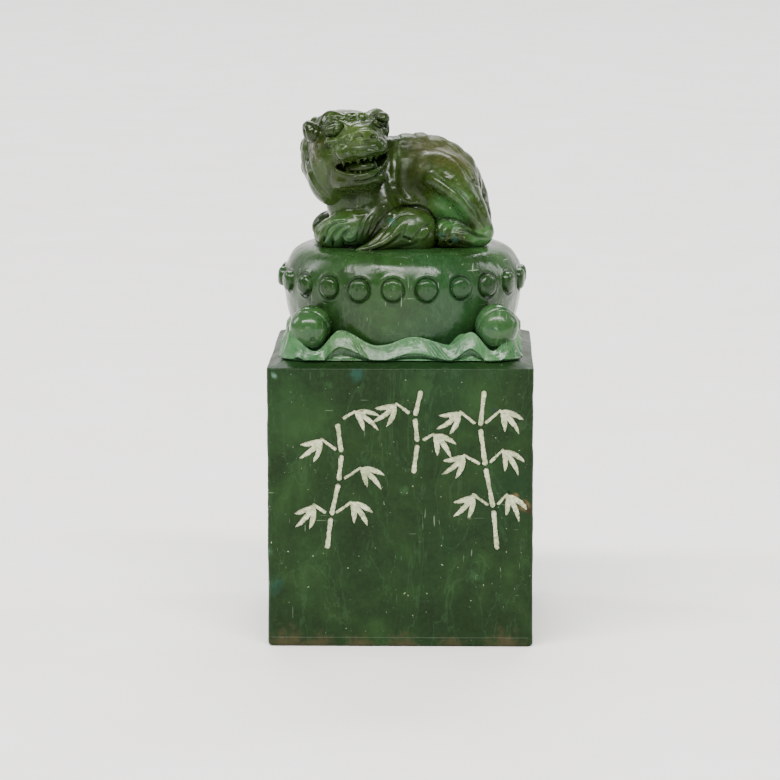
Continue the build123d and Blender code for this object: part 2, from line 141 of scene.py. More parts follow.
class Nodes:
    """Short names for the material nodes that the finishes are made of."""

    def __init__(self, name):
        self.material = bpy.data.materials.new(name)
        self.material.use_nodes = True
        self.tree = self.material.node_tree
        self.tree.nodes.clear()
        self.place = self.add("ShaderNodeTexCoord").outputs["Object"]

    def add(self, kind, **inputs):
        node = self.tree.nodes.new(kind)
        for key, value in inputs.items():
            self.feed(node.inputs[key], value)
        return node

    def feed(self, socket, value):
        if isinstance(value, bpy.types.NodeSocket):
            self.tree.links.new(value, socket)
        else:
            socket.default_value = value

    def noise(self, scale, detail=4.0, rough=0.55, warp=0.0, place=None, lift=0.0):
        node = self.add("ShaderNodeTexNoise", Scale=scale, Detail=detail, Roughness=rough, Distortion=warp)
        node.noise_dimensions = "4D"
        node.inputs["W"].default_value = lift
        self.tree.links.new(place or self.place, node.inputs["Vector"])
        return node.outputs["Fac"]

    def stretched(self, turn, sizes):
        node = self.add("ShaderNodeMapping")
        node.inputs["Rotation"].default_value = turn
        node.inputs["Scale"].default_value = sizes
        self.tree.links.new(self.place, node.inputs["Vector"])
        return node.outputs["Vector"]

    def ramp(self, value, *stops):
        node = self.add("ShaderNodeValToRGB")
        self.tree.links.new(value, node.inputs["Fac"])
        points = node.color_ramp.elements
        while len(points) < len(stops):
            points.new(0.5)
        for point, (where, colour) in zip(points, stops):
            point.position = where
            point.color = colour
        return node.outputs["Color"]

    def window(self, value, low, high, to_low=0.0, to_high=1.0):
        node = self.add("ShaderNodeMapRange")
        node.clamp = True
        node.interpolation_type = "SMOOTHSTEP"
        self.feed(node.inputs["Value"], value)
        node.inputs["From Min"].default_value = low
        node.inputs["From Max"].default_value = high
        node.inputs["To Min"].default_value = to_low
        node.inputs["To Max"].default_value = to_high
        return node.outputs["Result"]

    def maths(self, kind, one, two=0.0):
        node = self.add("ShaderNodeMath")
        node.operation = kind
        self.feed(node.inputs[0], one)
        self.feed(node.inputs[1], two)
        return node.outputs[0]

    def times(self, one, two):
        return self.maths("MULTIPLY", one, two)

    def plus(self, one, two):
        return self.maths("ADD", one, two)

    def minus(self, one, two):
        return self.maths("SUBTRACT", one, two)

    def mix(self, share, one, two):
        node = self.add("ShaderNodeMix")
        node.data_type = "RGBA"
        self.feed(node.inputs[0], share)
        self.feed(node.inputs[6], one)
        self.feed(node.inputs[7], two)
        return node.outputs[2]

    def near(self, centre, radius, ragged=0.35, grain=900.0):
        """A ragged spot round a place in mm: 1 inside it, 0 outside."""
        away = self.add("ShaderNodeVectorMath")
        away.operation = "DISTANCE"
        self.tree.links.new(self.place, away.inputs[0])
        away.inputs[1].default_value = [v * MM for v in centre]
        wobble = self.times(self.noise(grain, 5.0, 0.6), radius * MM * ragged * 2)
        reach = self.plus(away.outputs["Value"], wobble)
        return self.window(reach, radius * MM * 0.75, radius * MM * 1.45, 1.0, 0.0)

    def trait(self, name):
        node = self.add("ShaderNodeAttribute")
        node.attribute_name = name
        return node.outputs["Fac"]

    def finish(self, colour, rough, bump=None, bump_step=0.1, **settings):
        shader = self.add("ShaderNodeBsdfPrincipled")
        self.feed(shader.inputs["Base Color"], colour)
        self.feed(shader.inputs["Roughness"], rough)
        for key, value in settings.items():
            self.feed(shader.inputs[key.replace("_", " ")], value)
        if bump is not None:
            dent = self.add("ShaderNodeBump")
            dent.inputs["Strength"].default_value = 1.0
            dent.inputs["Distance"].default_value = bump_step * MM
            self.tree.links.new(bump, dent.inputs["Height"])
            self.tree.links.new(dent.outputs["Normal"], shader.inputs["Normal"])
        out = self.add("ShaderNodeOutputMaterial")
        self.tree.links.new(shader.outputs["BSDF"], out.inputs["Surface"])
        return self.material


# Shapes as distances in mm, for the carved clay


def segment_reach(x, y, z, start, end):
    """Squared distance to a segment and how far along it the nearest point is."""
    along = end - start
    length = max(float(along @ along), 1e-9)
    share = ((x - start[0]) * along[0] + (y - start[1]) * along[1] + (z - start[2]) * along[2]) / length
    share = np.clip(share, 0.0, 1.0)
    away = (
        (x - start[0] - share * along[0]) ** 2
        + (y - start[1] - share * along[1]) ** 2
        + (z - start[2] - share * along[2]) ** 2
    )
    return away, share


def ease(share):
    return share * share * (3 - 2 * share)


def soft_min(one, two, blend):
    """The lesser of two distances, with a fillet of the given size where they meet."""
    if blend <= 0:
        return np.minimum(one, two)
    share = np.clip(0.5 + 0.5 * (two - one) / blend, 0.0, 1.0)
    return two + (one - two) * share - blend * share * (1.0 - share)


def between(field, where, axis):
    """Values between the points of a field along one axis."""
    index = where.astype(int)
    part = ease(where - index)
    part = part.reshape([-1 if each == axis else 1 for each in range(field.ndim)]).astype(field.dtype)
    return np.take(field, index, axis) * (1 - part) + np.take(field, index + 1, axis) * part


def lattice(shape, grain_counts, seed):
    """Smooth seeded noise on a two-way grid."""
    field = np.random.default_rng(seed).normal(size=(grain_counts[0] + 2, grain_counts[1] + 2))
    for axis in range(2):
        field = between(field, np.linspace(0, grain_counts[axis], shape[axis]), axis)
    return field


def fade_seam(field, count):
    """Brings noise that goes round the piece to nothing at its seam."""
    field[..., :count] *= np.linspace(0, 1, count)
    field[..., -count:] *= np.linspace(1, 0, count)


def turned(places, turn):
    """Places in plan, turned about the middle."""
    x, y = places[:, 0], places[:, 1]
    cos, sin = np.cos(turn), np.sin(turn)
    return np.stack([x * cos - y * sin, x * sin + y * cos], -1)


def smooth_line(points, steps=5):
    """A curve through the points, or through rows of points, with more of them."""
    points = np.asarray(points, float)
    if len(points) < 3:
        return points
    padded = np.concatenate([2 * points[:1] - points[1:2], points, 2 * points[-1:] - points[-2:-1]])
    made = []
    for index in range(1, len(padded) - 2):
        before, here, there, after = padded[index - 1:index + 3]
        for step in range(steps):
            t = step / steps
            made.append(0.5 * (
                2 * here + (there - before) * t
                + (2 * before - 5 * here + 4 * there - after) * t ** 2
                + (3 * here - before - 3 * there + after) * t ** 3
            ))
    made.append(points[-1])
    return np.array(made)


def run_lengths(points):
    """How far along a line of points each of them is."""
    return np.concatenate([[0], np.cumsum(np.linalg.norm(np.diff(points, axis=0), axis=1))])


FAR = 3.0
RELIEF_REACH = 0.45
LIMB_BLEND = 0.25
SIGHT_REACH = 30.0
DROP_REACH = 8.0


class Clay:
    """A solid kept as a grid of distances in mm, minus inside, which is carved and then skinned."""

    def __init__(self, low, high, step):
        self.step = step
        self.start = np.floor(np.asarray(low, float) / step).astype(int)
        count = np.ceil(np.asarray(high, float) / step).astype(int) - self.start + 1
        self.f = np.full(tuple(count), FAR, np.float32)

    def spread(self, axis, low, high):
        index = np.arange(low, high)
        shape = [1, 1, 1]
        shape[axis] = -1
        return ((index + self.start[axis]) * self.step).astype(np.float32).reshape(shape)

    def window(self, low, high):
        low = np.floor(np.asarray(low) / self.step).astype(int) - self.start
        high = np.ceil(np.asarray(high) / self.step).astype(int) - self.start + 1
        low = np.clip(low, 0, self.f.shape)
        high = np.clip(high, low, self.f.shape)
        span = tuple(slice(a, b) for a, b in zip(low, high))
        return span, *[self.spread(axis, low[axis], high[axis]) for axis in range(3)]

    def apply(self, distance, low, high, blend, cut):
        """Joins a shape to the clay, or cuts it out, within a box round it."""
        margin = max(blend, 0.6) + self.step
        span, x, y, z = self.window(np.asarray(low) - margin, np.asarray(high) + margin)
        made = np.minimum(distance(x, y, z), FAR).astype(np.float32)
        if cut:
            self.f[span] = -soft_min(-self.f[span], made, blend)
        else:
            self.f[span] = soft_min(self.f[span], made, blend)

    def egg(self, centre, radii, blend=0.0, axes=None, cut=False):
        """An ellipsoid. The axes are rows: across, back and up."""
        centre = np.asarray(centre, float)
        radii = np.asarray(radii, float)
        frame_axes = np.eye(3) if axes is None else np.asarray(axes, float)
        reach = np.sqrt(((frame_axes * radii[:, None]) ** 2).sum(0))

        def distance(x, y, z):
            px, py, pz = x - centre[0], y - centre[1], z - centre[2]
            near = 0.0
            far = 0.0
            for axis, radius in zip(frame_axes, radii):
                part = (px * axis[0] + py * axis[1] + pz * axis[2]) / radius
                near = near + part ** 2
                far = far + (part / radius) ** 2
            near = np.sqrt(near)
            return near * (near - 1.0) / np.sqrt(np.maximum(far, 1e-9))

        self.apply(distance, centre - reach, centre + reach, blend, cut)

    def limb(self, points, radii, blend=0.0, cut=False):
        """A chain of round bars that change thickness from point to point."""
        points = np.asarray(points, float)
        radii = np.asarray(radii, float)
        if len(points) > 2:
            points, radii = smooth_line(points), smooth_line(radii[:, None])[:, 0]
        reach = radii.max()

        def distance(x, y, z):
            least = None
            for index in range(len(points) - 1):
                away, share = segment_reach(x, y, z, points[index], points[index + 1])
                thick = radii[index] + share * (radii[index + 1] - radii[index])
                made = np.sqrt(away) - thick
                least = made if least is None else soft_min(least, made, LIMB_BLEND)
            return least

        self.apply(distance, points.min(0) - reach, points.max(0) + reach, blend, cut)

    def score(self, points, width, depth, ends=0.5, steps=5):
        """Cuts a groove along a line on the surface, or raises a ridge where the depth is negative."""
        points = smooth_line(points, steps)
        lengths = run_lengths(points)
        lengths = lengths / max(lengths[-1], 1e-9)
        margin = 3 * width
        span, x, y, z = self.window(points.min(0) - margin, points.max(0) + margin)
        if 0 in self.f[span].shape:
            return
        best = np.full(self.f[span].shape, 1e9, np.float32)
        where = np.zeros_like(best)
        for index in range(len(points) - 1):
            away, share = segment_reach(x, y, z, points[index], points[index + 1])
            closer = away < best
            best = np.where(closer, away, best)
            along = lengths[index] + share * (lengths[index + 1] - lengths[index])
            where = np.where(closer, along, where)
        fade = 1.0 if ends <= 0 else np.clip(np.minimum(where, 1 - where) / (ends * 0.5) + 0.15, 0, 1)
        self.f[span] += (depth * fade * np.exp(-best / width ** 2)).astype(np.float32)

    def rough(self, grain, amount, seed):
        """Adds the small unevenness of hand work, seeded."""
        counts = [int(count * self.step / grain) + 2 for count in self.f.shape]
        field = np.random.default_rng(seed).normal(size=counts).astype(np.float32)
        for axis, count in enumerate(self.f.shape):
            field = between(field, np.arange(count) * self.step / grain, axis)
        self.f += field * amount

    def value(self, points, field=None):
        """The distance at any points, in mm, from this clay's grid or another of its size."""
        field = self.f if field is None else field
        where = np.asarray(points, float) / self.step - self.start
        where = np.clip(where, 0, np.array(self.f.shape) - 1.001)
        low = where.astype(int)
        part = where - low
        total = 0.0
        for corner in range(8):
            bits = np.array([(corner >> axis) & 1 for axis in range(3)])
            index = low + bits
            weight = np.prod(np.where(bits, part, 1 - part), axis=-1)
            total = total + weight * field[index[..., 0], index[..., 1], index[..., 2]]
        return total

    def meet(self, place, ray, reach):
        """Where a ray first enters the clay, or comes nearest to it."""
        steps = np.arange(0, reach, self.step * 0.5)
        path = place + steps[:, None] * ray
        values = self.value(path)
        inside = np.nonzero(values < 0)[0]
        if len(inside) and inside[0] > 0:
            index = inside[0]
            share = values[index - 1] / (values[index - 1] - values[index])
            return path[index - 1] + (path[index] - path[index - 1]) * share
        return path[values.argmin()]

    def spot(self, pixel):
        """The place on the clay that a pixel of the photograph shows."""
        middle = (self.start + np.array(self.f.shape) / 2) * self.step
        ray = sight(pixel)
        away = (middle - CAMERA_PLACE) @ ray
        return self.meet(CAMERA_PLACE + ray * (away - SIGHT_REACH / 2), ray, SIGHT_REACH)

    def pin(self, pixels):
        return np.array([self.spot(pixel) for pixel in pixels])

    def drop(self, points, direction):
        """The places on the clay below points that are outside it, along a direction."""
        direction = unit(direction)
        return np.array([self.meet(np.asarray(p, float), direction, DROP_REACH) for p in points])

    def trace(self, rows, *shared):
        """Scores rows of pixels and their cut, each pinned just before it is cut."""
        for pixels, *cut in rows:
            self.score(self.pin(pixels), *cut, *shared)

    def drape(self, points, direction, *cut):
        """Scores a line dropped on the clay."""
        self.score(self.drop(points, direction), *cut)

    def curl(self, centre, facing, radius, height, turns=1.6, hand=1, blend=0.2, depth=0.16, spin=0.0):
        """A snail curl: a low dome with a spiral groove."""
        facing = unit(facing)
        side = np.cross([0.0, 0.0, 1.0], facing)
        side = side / max(np.linalg.norm(side), 1e-6)
        over = np.cross(facing, side)
        self.egg(centre, (radius, radius, height), blend, axes=(side, over, facing))
        line = []
        for step in range(int(turns * 12) + 1):
            angle = hand * (2 * math.pi * step / 12) + spin
            reach = radius * (0.93 - 0.75 * step / (turns * 12))
            rise = height * math.sqrt(max(0.02, 1 - (reach / radius) ** 2))
            flat = side * math.cos(angle) * reach + over * math.sin(angle) * reach
            line.append(np.asarray(centre) + flat + facing * rise)
        self.score(line, radius * 0.13, depth, ends=0.2, steps=2)

    def relief(self, points, reach):
        """How far the surface stands out (above 0) or lies in a hollow (below 0), at points in mm."""
        count = max(1, int(round(reach / self.step)))
        field = np.clip(self.f, -reach * 1.5, reach * 1.5)
        for axis in range(3):
            padded = np.concatenate([
                np.repeat(np.take(field, [0], axis), count + 1, axis),
                field,
                np.repeat(np.take(field, [-1], axis), count, axis),
            ], axis)
            total = np.cumsum(padded, axis=axis, dtype=np.float64)
            top = np.take(total, np.arange(2 * count + 1, total.shape[axis]), axis)
            bottom = np.take(total, np.arange(0, total.shape[axis] - 2 * count - 1), axis)
            field = ((top - bottom) / (2 * count + 1)).astype(np.float32)
        return self.value(points, field) / reach

    def skin(self, name, whole=None):
        """Makes the mesh object, in metres, with its relief kept for the material."""
        closed = self.f.copy()
        for axis in range(3):
            for end in (0, -1):
                face = [slice(None)] * 3
                face[axis] = end
                closed[tuple(face)] = np.maximum(closed[tuple(face)], self.step)
        grid = openvdb.FloatGrid(FAR)
        grid.copyFromArray(closed)
        points, quads = grid.convertToQuads(isovalue=0.0)
        places = (points + self.start) * self.step
        piece = make_mesh(name, places, quads)
        keep_trait(piece, "relief", (whole or self).relief(places, RELIEF_REACH))
        return piece


def make_mesh(name, places, quads):
    """A mesh object from points in mm and four-cornered faces, turned to face outward."""
    places = np.asarray(places, np.float64)
    quads = np.asarray(quads, np.int64)
    one, two, three, four = [places[quads[:, k]] for k in range(4)]
    volume = np.einsum("ij,ij->i", one, np.cross(two, three) + np.cross(three, four)).sum()
    if volume < 0:
        quads = quads[:, ::-1]
    mesh = bpy.data.meshes.new(name)
    mesh.vertices.add(len(places))
    mesh.vertices.foreach_set("co", (places * MM).astype(np.float32).ravel())
    mesh.loops.add(quads.size)
    mesh.loops.foreach_set("vertex_index", quads.astype(np.int32).ravel())
    mesh.polygons.add(len(quads))
    mesh.polygons.foreach_set("loop_start", np.arange(0, quads.size, 4, dtype=np.int32))
    mesh.update(calc_edges=True)
    mesh.validate()
    mesh.polygons.foreach_set("use_smooth", np.full(len(mesh.polygons), True))
    piece = bpy.data.objects.new(name, mesh)
    bpy.context.scene.collection.objects.link(piece)
    return piece


def ring_faces(rows, columns, joined=False):
    """The faces between rows of points that go round, where joined from the last row to the first too."""
    row, column = np.meshgrid(np.arange(rows if joined else rows - 1), np.arange(columns), indexing="ij")
    after = (column + 1) % columns
    above = (row + 1) % rows
    corners = np.stack([
        row * columns + column, row * columns + after, above * columns + after, above * columns + column,
    ], -1)
    return corners.reshape(-1, 4)


def close_ends(points, rows, columns):
    """Ring faces, and fans of four-cornered faces that close both ends round middle points."""
    places = list(points.reshape(-1, 3))
    faces = [ring_faces(rows, columns)]
    for row in (0, rows - 1):
        loop = points[row]
        middle = len(places)
        places.append(loop.mean(0))
        start = row * columns
        caps = np.array([
            [start + k, start + (k + 1) % columns, start + (k + 2) % columns, middle]
            for k in range(0, columns, 2)
        ])
        faces.append(caps if row == 0 else caps[:, ::-1])
    return np.array(places), np.vstack(faces)


def keep_trait(piece, name, values):
    """Keeps a value at every point of a mesh, for its material."""
    trait = piece.data.attributes.new(name, "FLOAT", "POINT")
    trait.data.foreach_set("value", np.asarray(values).astype(np.float32))


def keep_hollow(piece, depth):
    """Keeps how deep each point of a ring mesh is sunk, with none at the two ends' middles."""
    keep_trait(piece, "hollow", np.append(depth.ravel(), [0.0, 0.0]))


def place(piece, slot, *nodes):
    """Puts a piece in the part in place of the nodes it stands for, which it hides, hung on the root body;
    the finish slot is not used.
    """
    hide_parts(*nodes)
    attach(piece, "root")


# Sizes shared with the solids, in mm
STONE_HALF = 18.0
STONE_CORNER = 0.8
FACE_TOP = 1.2
BLOCK_TOP = 38.3
SKIRT_FOOT = 38.95
DRUM_TOP = 53.2
SHOULDER_IN = 2.0
GROOVE_DEPTH = 0.45
FILL_TOP_DEPTH = 0.15
STEM_WIDTH = 0.62
TWIG_WIDTH = 0.42
STEM_GAP = 0.45
LEAF_LENGTH = 4.1
LEAF_WIDTH = 0.72
LEAF_BOW = 0.07
STEMS = [
    [(0.365, 0.37), (0.350, 0.53), (0.320, 0.69), (0.300, 0.84), (0.315, 0.985)],
    [(0.050, 0.66), (0.065, 0.78), (0.055, 0.88), (0.080, 0.985)],
    [(-0.275, 0.37), (-0.260, 0.50), (-0.230, 0.63), (-0.220, 0.74), (-0.235, 0.86)],
]
TWIGS = [
    ((0.350, 0.53), (0.400, 0.585), -62),
    ((0.350, 0.53), (0.275, 0.585), -128),
    ((0.320, 0.69), (0.385, 0.755), -55),
    ((0.320, 0.69), (0.240, 0.735), -135),
    ((0.300, 0.84), (0.375, 0.905), -48),
    ((0.300, 0.84), (0.225, 0.900), -140),
    ((0.065, 0.78), (0.125, 0.815), -50),
    ((0.055, 0.88), (-0.015, 0.930), -138),
    ((-0.260, 0.50), (-0.185, 0.555), -52),
    ((-0.260, 0.50), (-0.325, 0.545), -125),
    ((-0.230, 0.63), (-0.150, 0.685), -42),
    ((-0.220, 0.74), (-0.295, 0.795), -135),
    ((-0.235, 0.86), (-0.170, 0.900), -35),
]
LEAF_FAN = [(-30, 0.72), (-4, 1.0), (25, 0.84)]
# Distance that stands for nowhere near a stroke
FAR_FROM_STROKE = 9.0


def face_distance(x, z, points, widths):
    """Distance on the front face to a stroke whose half width changes along it."""
    least = np.full(np.broadcast(x, z).shape, FAR_FROM_STROKE)
    for index in range(len(points) - 1):
        start, end = points[index], points[index + 1]
        along = end - start
        share = ((x - start[0]) * along[0] + (z - start[1]) * along[1]) / (along @ along)
        share = np.clip(share, 0, 1)
        away = np.hypot(x - start[0] - share * along[0], z - start[1] - share * along[1])
        half = widths[index] + share * (widths[index + 1] - widths[index])
        least = np.minimum(least, away - half)
    return least


def spray_strokes():
    """The strokes of the leaf spray: points on the face in mm and half widths."""
    strokes = []
    for stem in STEMS:
        for low, high in zip(stem, stem[1:]):
            low, high = np.array([low, high]) * 2 * STONE_HALF
            along = unit(high - low)
            gap = along * (STEM_GAP + STEM_WIDTH) / 2
            ends = np.array([low + gap, (low + high) / 2, high - gap])
            strokes.append((ends, np.array([1.12, 0.86, 1.12]) * STEM_WIDTH / 2))
    for low, high, heading in TWIGS:
        low, high = np.array([low, high]) * 2 * STONE_HALF
        along = unit(high - low)
        start = low + along * (STEM_WIDTH + STEM_GAP)
        strokes.append((np.array([start, high]), np.array([1.1, 0.85]) * TWIG_WIDTH / 2))
        for spread, share in LEAF_FAN:
            turn = math.radians(heading + spread)
            length = LEAF_LENGTH * share
            forward = np.array([math.cos(turn), math.sin(turn)])
            aside = np.array([-math.sin(turn), math.cos(turn)])
            t = np.linspace(0.02, 0.98, 9)
            bow = LEAF_BOW * length * 4 * t * (1 - t)
            points = high + t[:, None] * length * forward + bow[:, None] * aside
            widths = LEAF_WIDTH / 2 * (4 * t * (1 - t)) ** 0.8
            strokes.append((points, widths))
    return strokes


def spray_distance(x, z):
    """Distance on the front face to the nearest stroke, worked out stroke by stroke."""
    least = np.full((x.size, z.size), FAR_FROM_STROKE)
    for points, widths in spray_strokes():
        reach = widths.max() + 0.6
        across = np.nonzero((x > points[:, 0].min() - reach) & (x < points[:, 0].max() + reach))[0]
        along = np.nonzero((z > points[:, 1].min() - reach) & (z < points[:, 1].max() + reach))[0]
        if not len(across) or not len(along):
            continue
        box = (slice(across[0], across[-1] + 1), slice(along[0], along[-1] + 1))
        made = face_distance(x[box[0], None], z[None, box[1]], points, widths)
        least[box] = np.minimum(least[box], made)
    return least


# Block: a ring of points for every level, fine on the front face where the spray is cut
FINE_STEP = pick(0.085)
SPRAY_LOW = 11.5
SPRAY_HIGH = 36.6
CHIP_PIXELS = [(508, 492), (516, 499), (524, 505), (533, 514)]
CHIP_WIDTHS = np.array([0.12, 0.20, 0.42, 0.30])
ARRIS = 0.25
ARRIS_IN = 0.28
WALL_FADE = 0.10
WAVE_SHIFT = 0.035
PASTE_LAP = 0.06
PASTE_UNDER = 0.12


def block_outline():
    """Points round the stone's plan, the outward direction at each, and how many lie on the front face."""
    flat = STONE_HALF - STONE_CORNER
    fine = np.arange(-flat, flat + FINE_STEP / 2, FINE_STEP)
    coarse = np.linspace(-flat, flat, 37)
    rows = []
    for side in range(4):
        turn = side * math.pi / 2
        for across in fine if side == 0 else coarse:
            rows.append((across, -STONE_HALF, 0.0, -1.0, turn))
        for bend in np.linspace(0, math.pi / 2, 9)[1:-1]:
            out_x, out_y = math.sin(bend), -math.cos(bend)
            rows.append((flat + STONE_CORNER * out_x, -flat + STONE_CORNER * out_y, out_x, out_y, turn))
    rows = np.array(rows)
    both = np.hstack([turned(rows, rows[:, 4]), turned(rows[:, 2:], rows[:, 4])])
    if len(both) % 2:
        both = np.vstack([both, (both[-1] + both[0]) / 2])
    return both[:, :2], both[:, 2:], len(fine)


def block_levels():
    """The height of every ring of points, and how far it is drawn in: wall, arris and sloped shoulder."""
    walls = np.concatenate([
        np.linspace(FACE_TOP, SPRAY_LOW, 36)[:-1],
        np.arange(SPRAY_LOW, SPRAY_HIGH, FINE_STEP),
        np.linspace(SPRAY_HIGH, BLOCK_TOP - ARRIS, 10)[1:],
    ])
    rows = [(level, 0.0) for level in walls]
    for share in np.linspace(0, 1, 6)[1:]:
        bend = share * math.pi * 0.44
        rows.append((BLOCK_TOP - ARRIS + ARRIS * math.sin(bend), ARRIS_IN * (1 - math.cos(bend))))
    start_level, start_in = rows[-1]
    for share in np.linspace(0, 1, 9)[1:]:
        rise = start_level + (SKIRT_FOOT - start_level) * share
        rows.append((rise, start_in + (SHOULDER_IN + ARRIS - start_in) * share))
    rows.append((SKIRT_FOOT + 0.05, 6.0))
    return np.array(rows).T


def block_wear(plan, z):
    """Slow waves of the hand-ground faces, and small dents along the arrises."""
    size = (len(z), len(plan))
    wave = lattice(size, (14, 46), 11) * 0.035 + lattice(size, (60, 240), 12) * 0.008
    wave = np.maximum(wave + WAVE_SHIFT, 0.0)
    fade_seam(wave, 8)
    edge = np.exp(-((z - BLOCK_TOP) / 0.5) ** 2)[:, None]
    corner_near = np.exp(-((np.abs(plan).min(1) - STONE_HALF) / 0.9) ** 2)[None]
    nicks = np.maximum(lattice(size, (120, 330), 13) - 0.9, 0) * 0.11
    fade = np.clip((z - FACE_TOP) / 1.2, 0, 1) * np.clip((SKIRT_FOOT + 0.1 - z) / 0.3, 0, 1)
    return (wave + nicks * np.clip(edge + corner_near, 0, 1)) * fade[:, None]


def spray_cuts(x, z):
    """How deep the front face is cut for the spray, with ragged walls and a slight lip."""
    away = spray_distance(x, z).T
    ragged = lattice(away.shape, (150, 200), 14) * 0.02
    wall = np.clip(-(away + ragged) / WALL_FADE + 0.35, 0, 1)
    lip = np.exp(-((away - 0.05) / 0.09) ** 2) * 0.015
    return ease(wall) * GROOVE_DEPTH + lip


def flaw_pit(x, z):
    """How deep the natural flaw by the right edge is."""
    flaw = np.array([on_depth(pixel, -STONE_HALF)[[0, 2]] for pixel in CHIP_PIXELS])
    away = face_distance(x[None, :], z[:, None], flaw, CHIP_WIDTHS)
    pitted = lattice(away.shape, (170, 260), 15) * 0.09 + 0.16
    return ease(np.clip(0.5 - away / 0.35, 0, 1)) * pitted


def make_block():
    """The stone, with its points sunk by wear, by the cuts of the spray and by the flaw."""
    plan, outward, front_count = block_outline()
    z, inset = block_levels()
    points = np.empty((len(z), len(plan), 3))
    points[..., :2] = plan[None] * ((STONE_HALF - inset) / STONE_HALF)[:, None, None]
    points[..., 2] = z[:, None]
    depth = block_wear(plan, z)
    front_x = plan[:front_count, 0]
    fine = (z >= SPRAY_LOW) & (z <= SPRAY_HIGH)
    depth[fine, :front_count] += spray_cuts(front_x, z[fine])
    depth[:, :front_count] += flaw_pit(front_x, z)
    points[..., :2] -= outward[None] * depth[..., None]
    piece = make_mesh("block", *close_ends(points, *points.shape[:2]))
    keep_hollow(piece, depth)
    place(piece, "block_stone", "seal_block")


def make_paste():
    """The pale paste in the cuts: a thin crusted sheet over the bottom of every stroke."""
    x = np.arange(-STONE_HALF, STONE_HALF + FINE_STEP / 2, FINE_STEP)
    z = np.arange(SPRAY_LOW, SPRAY_HIGH, FINE_STEP)
    away = spray_distance(x, z)
    size = away.shape
    inside = away < PASTE_LAP
    crust = lattice(size, (260, 180), 21) * 0.035 + lattice(size, (90, 60), 22) * 0.04
    gone = np.clip(lattice(size, (70, 50), 23) - 0.9, 0, 1) * 0.16
    front = -STONE_HALF + FILL_TOP_DEPTH + crust + gone + np.clip(away + 0.10, 0, 0.2) * 0.5
    front = np.clip(front, -STONE_HALF + 0.02, -STONE_HALF + GROOVE_DEPTH - 0.03)
    cells = inside[:-1, :-1] | inside[1:, :-1] | inside[:-1, 1:] | inside[1:, 1:]
    used = np.zeros(size, bool)
    for dx, dz in ((0, 0), (1, 0), (0, 1), (1, 1)):
        used[dx:dx + cells.shape[0], dz:dz + cells.shape[1]] |= cells
    total = used.sum()
    index = np.full(size, -1)
    index[used] = np.arange(total)
    grid_x, grid_z = np.meshgrid(x, z, indexing="ij")
    front_points = np.stack([grid_x[used], front[used], grid_z[used]], -1)
    back_points = front_points.copy()
    back_points[:, 1] = -STONE_HALF + GROOVE_DEPTH + PASTE_UNDER
    i, j = np.argwhere(cells).T
    faces = [np.stack([index[i, j], index[i + 1, j], index[i + 1, j + 1], index[i, j + 1]], -1)]
    faces.append(faces[0][:, ::-1] + total)
    padded = np.pad(cells, 1)
    sides = (
        ((0, -1), (0, 0), (1, 0)), ((1, 0), (1, 0), (1, 1)),
        ((0, 1), (1, 1), (0, 1)), ((-1, 0), (0, 1), (0, 0)),
    )
    for (di, dj), start, end in sides:
        edge = cells & ~padded[1 + di:padded.shape[0] - 1 + di, 1 + dj:padded.shape[1] - 1 + dj]
        i, j = np.argwhere(edge).T
        one = index[i + start[0], j + start[1]]
        two = index[i + end[0], j + end[1]]
        faces.append(np.stack([two, one, one + total, two + total], -1))
    piece = make_mesh("spray_paste", np.vstack([front_points, back_points]), np.vstack(faces))
    place(piece, "fill_paste", "ornament_fill")


# Drum: a turned form with hand-carved unevenness and a groove round every nail
NAIL_COUNT = 22
NAIL_TURN = math.radians(-3.3)
NAIL_RADIUS = 1.4
NAIL_LEVEL = SKIRT_FOOT + 0.68 * (DRUM_TOP - SKIRT_FOOT)
DRUM_PROFILE = [
    (13.2, 38.75), (14.2, 38.95), (14.9, 40.6), (15.6, 42.8), (16.1, 45.0), (16.45, 47.2), (16.5, 49.0),
    (16.3, 50.0), (15.8, 51.1), (15.1, 52.1), (14.2, 52.75), (13.1, 53.1), (11.9, 53.2), (9.0, 53.2),
    (5.0, 53.2), (0.6, 53.2),
]
DRUM_RIM = 11
DRUM_SEAM = 20
NAIL_RISE = 0.72
NAIL_RING_DEPTH = 0.20
NAIL_RING_LIP = 0.06


def nail_places():
    """Bearing, radius and height of every nail, each a little off its place."""
    draw = np.random.default_rng(31)
    made = []
    for number in range(NAIL_COUNT):
        bearing = 2 * math.pi * number / NAIL_COUNT + NAIL_TURN + draw.normal() * 0.008
        made.append((bearing, NAIL_RADIUS * (1 + draw.normal() * 0.035), NAIL_LEVEL + draw.normal() * 0.10))
    return made


def drum_radius(level):
    profile = smooth_line(DRUM_PROFILE[:DRUM_RIM], 6)
    return np.interp(level, profile[:, 1], profile[:, 0])


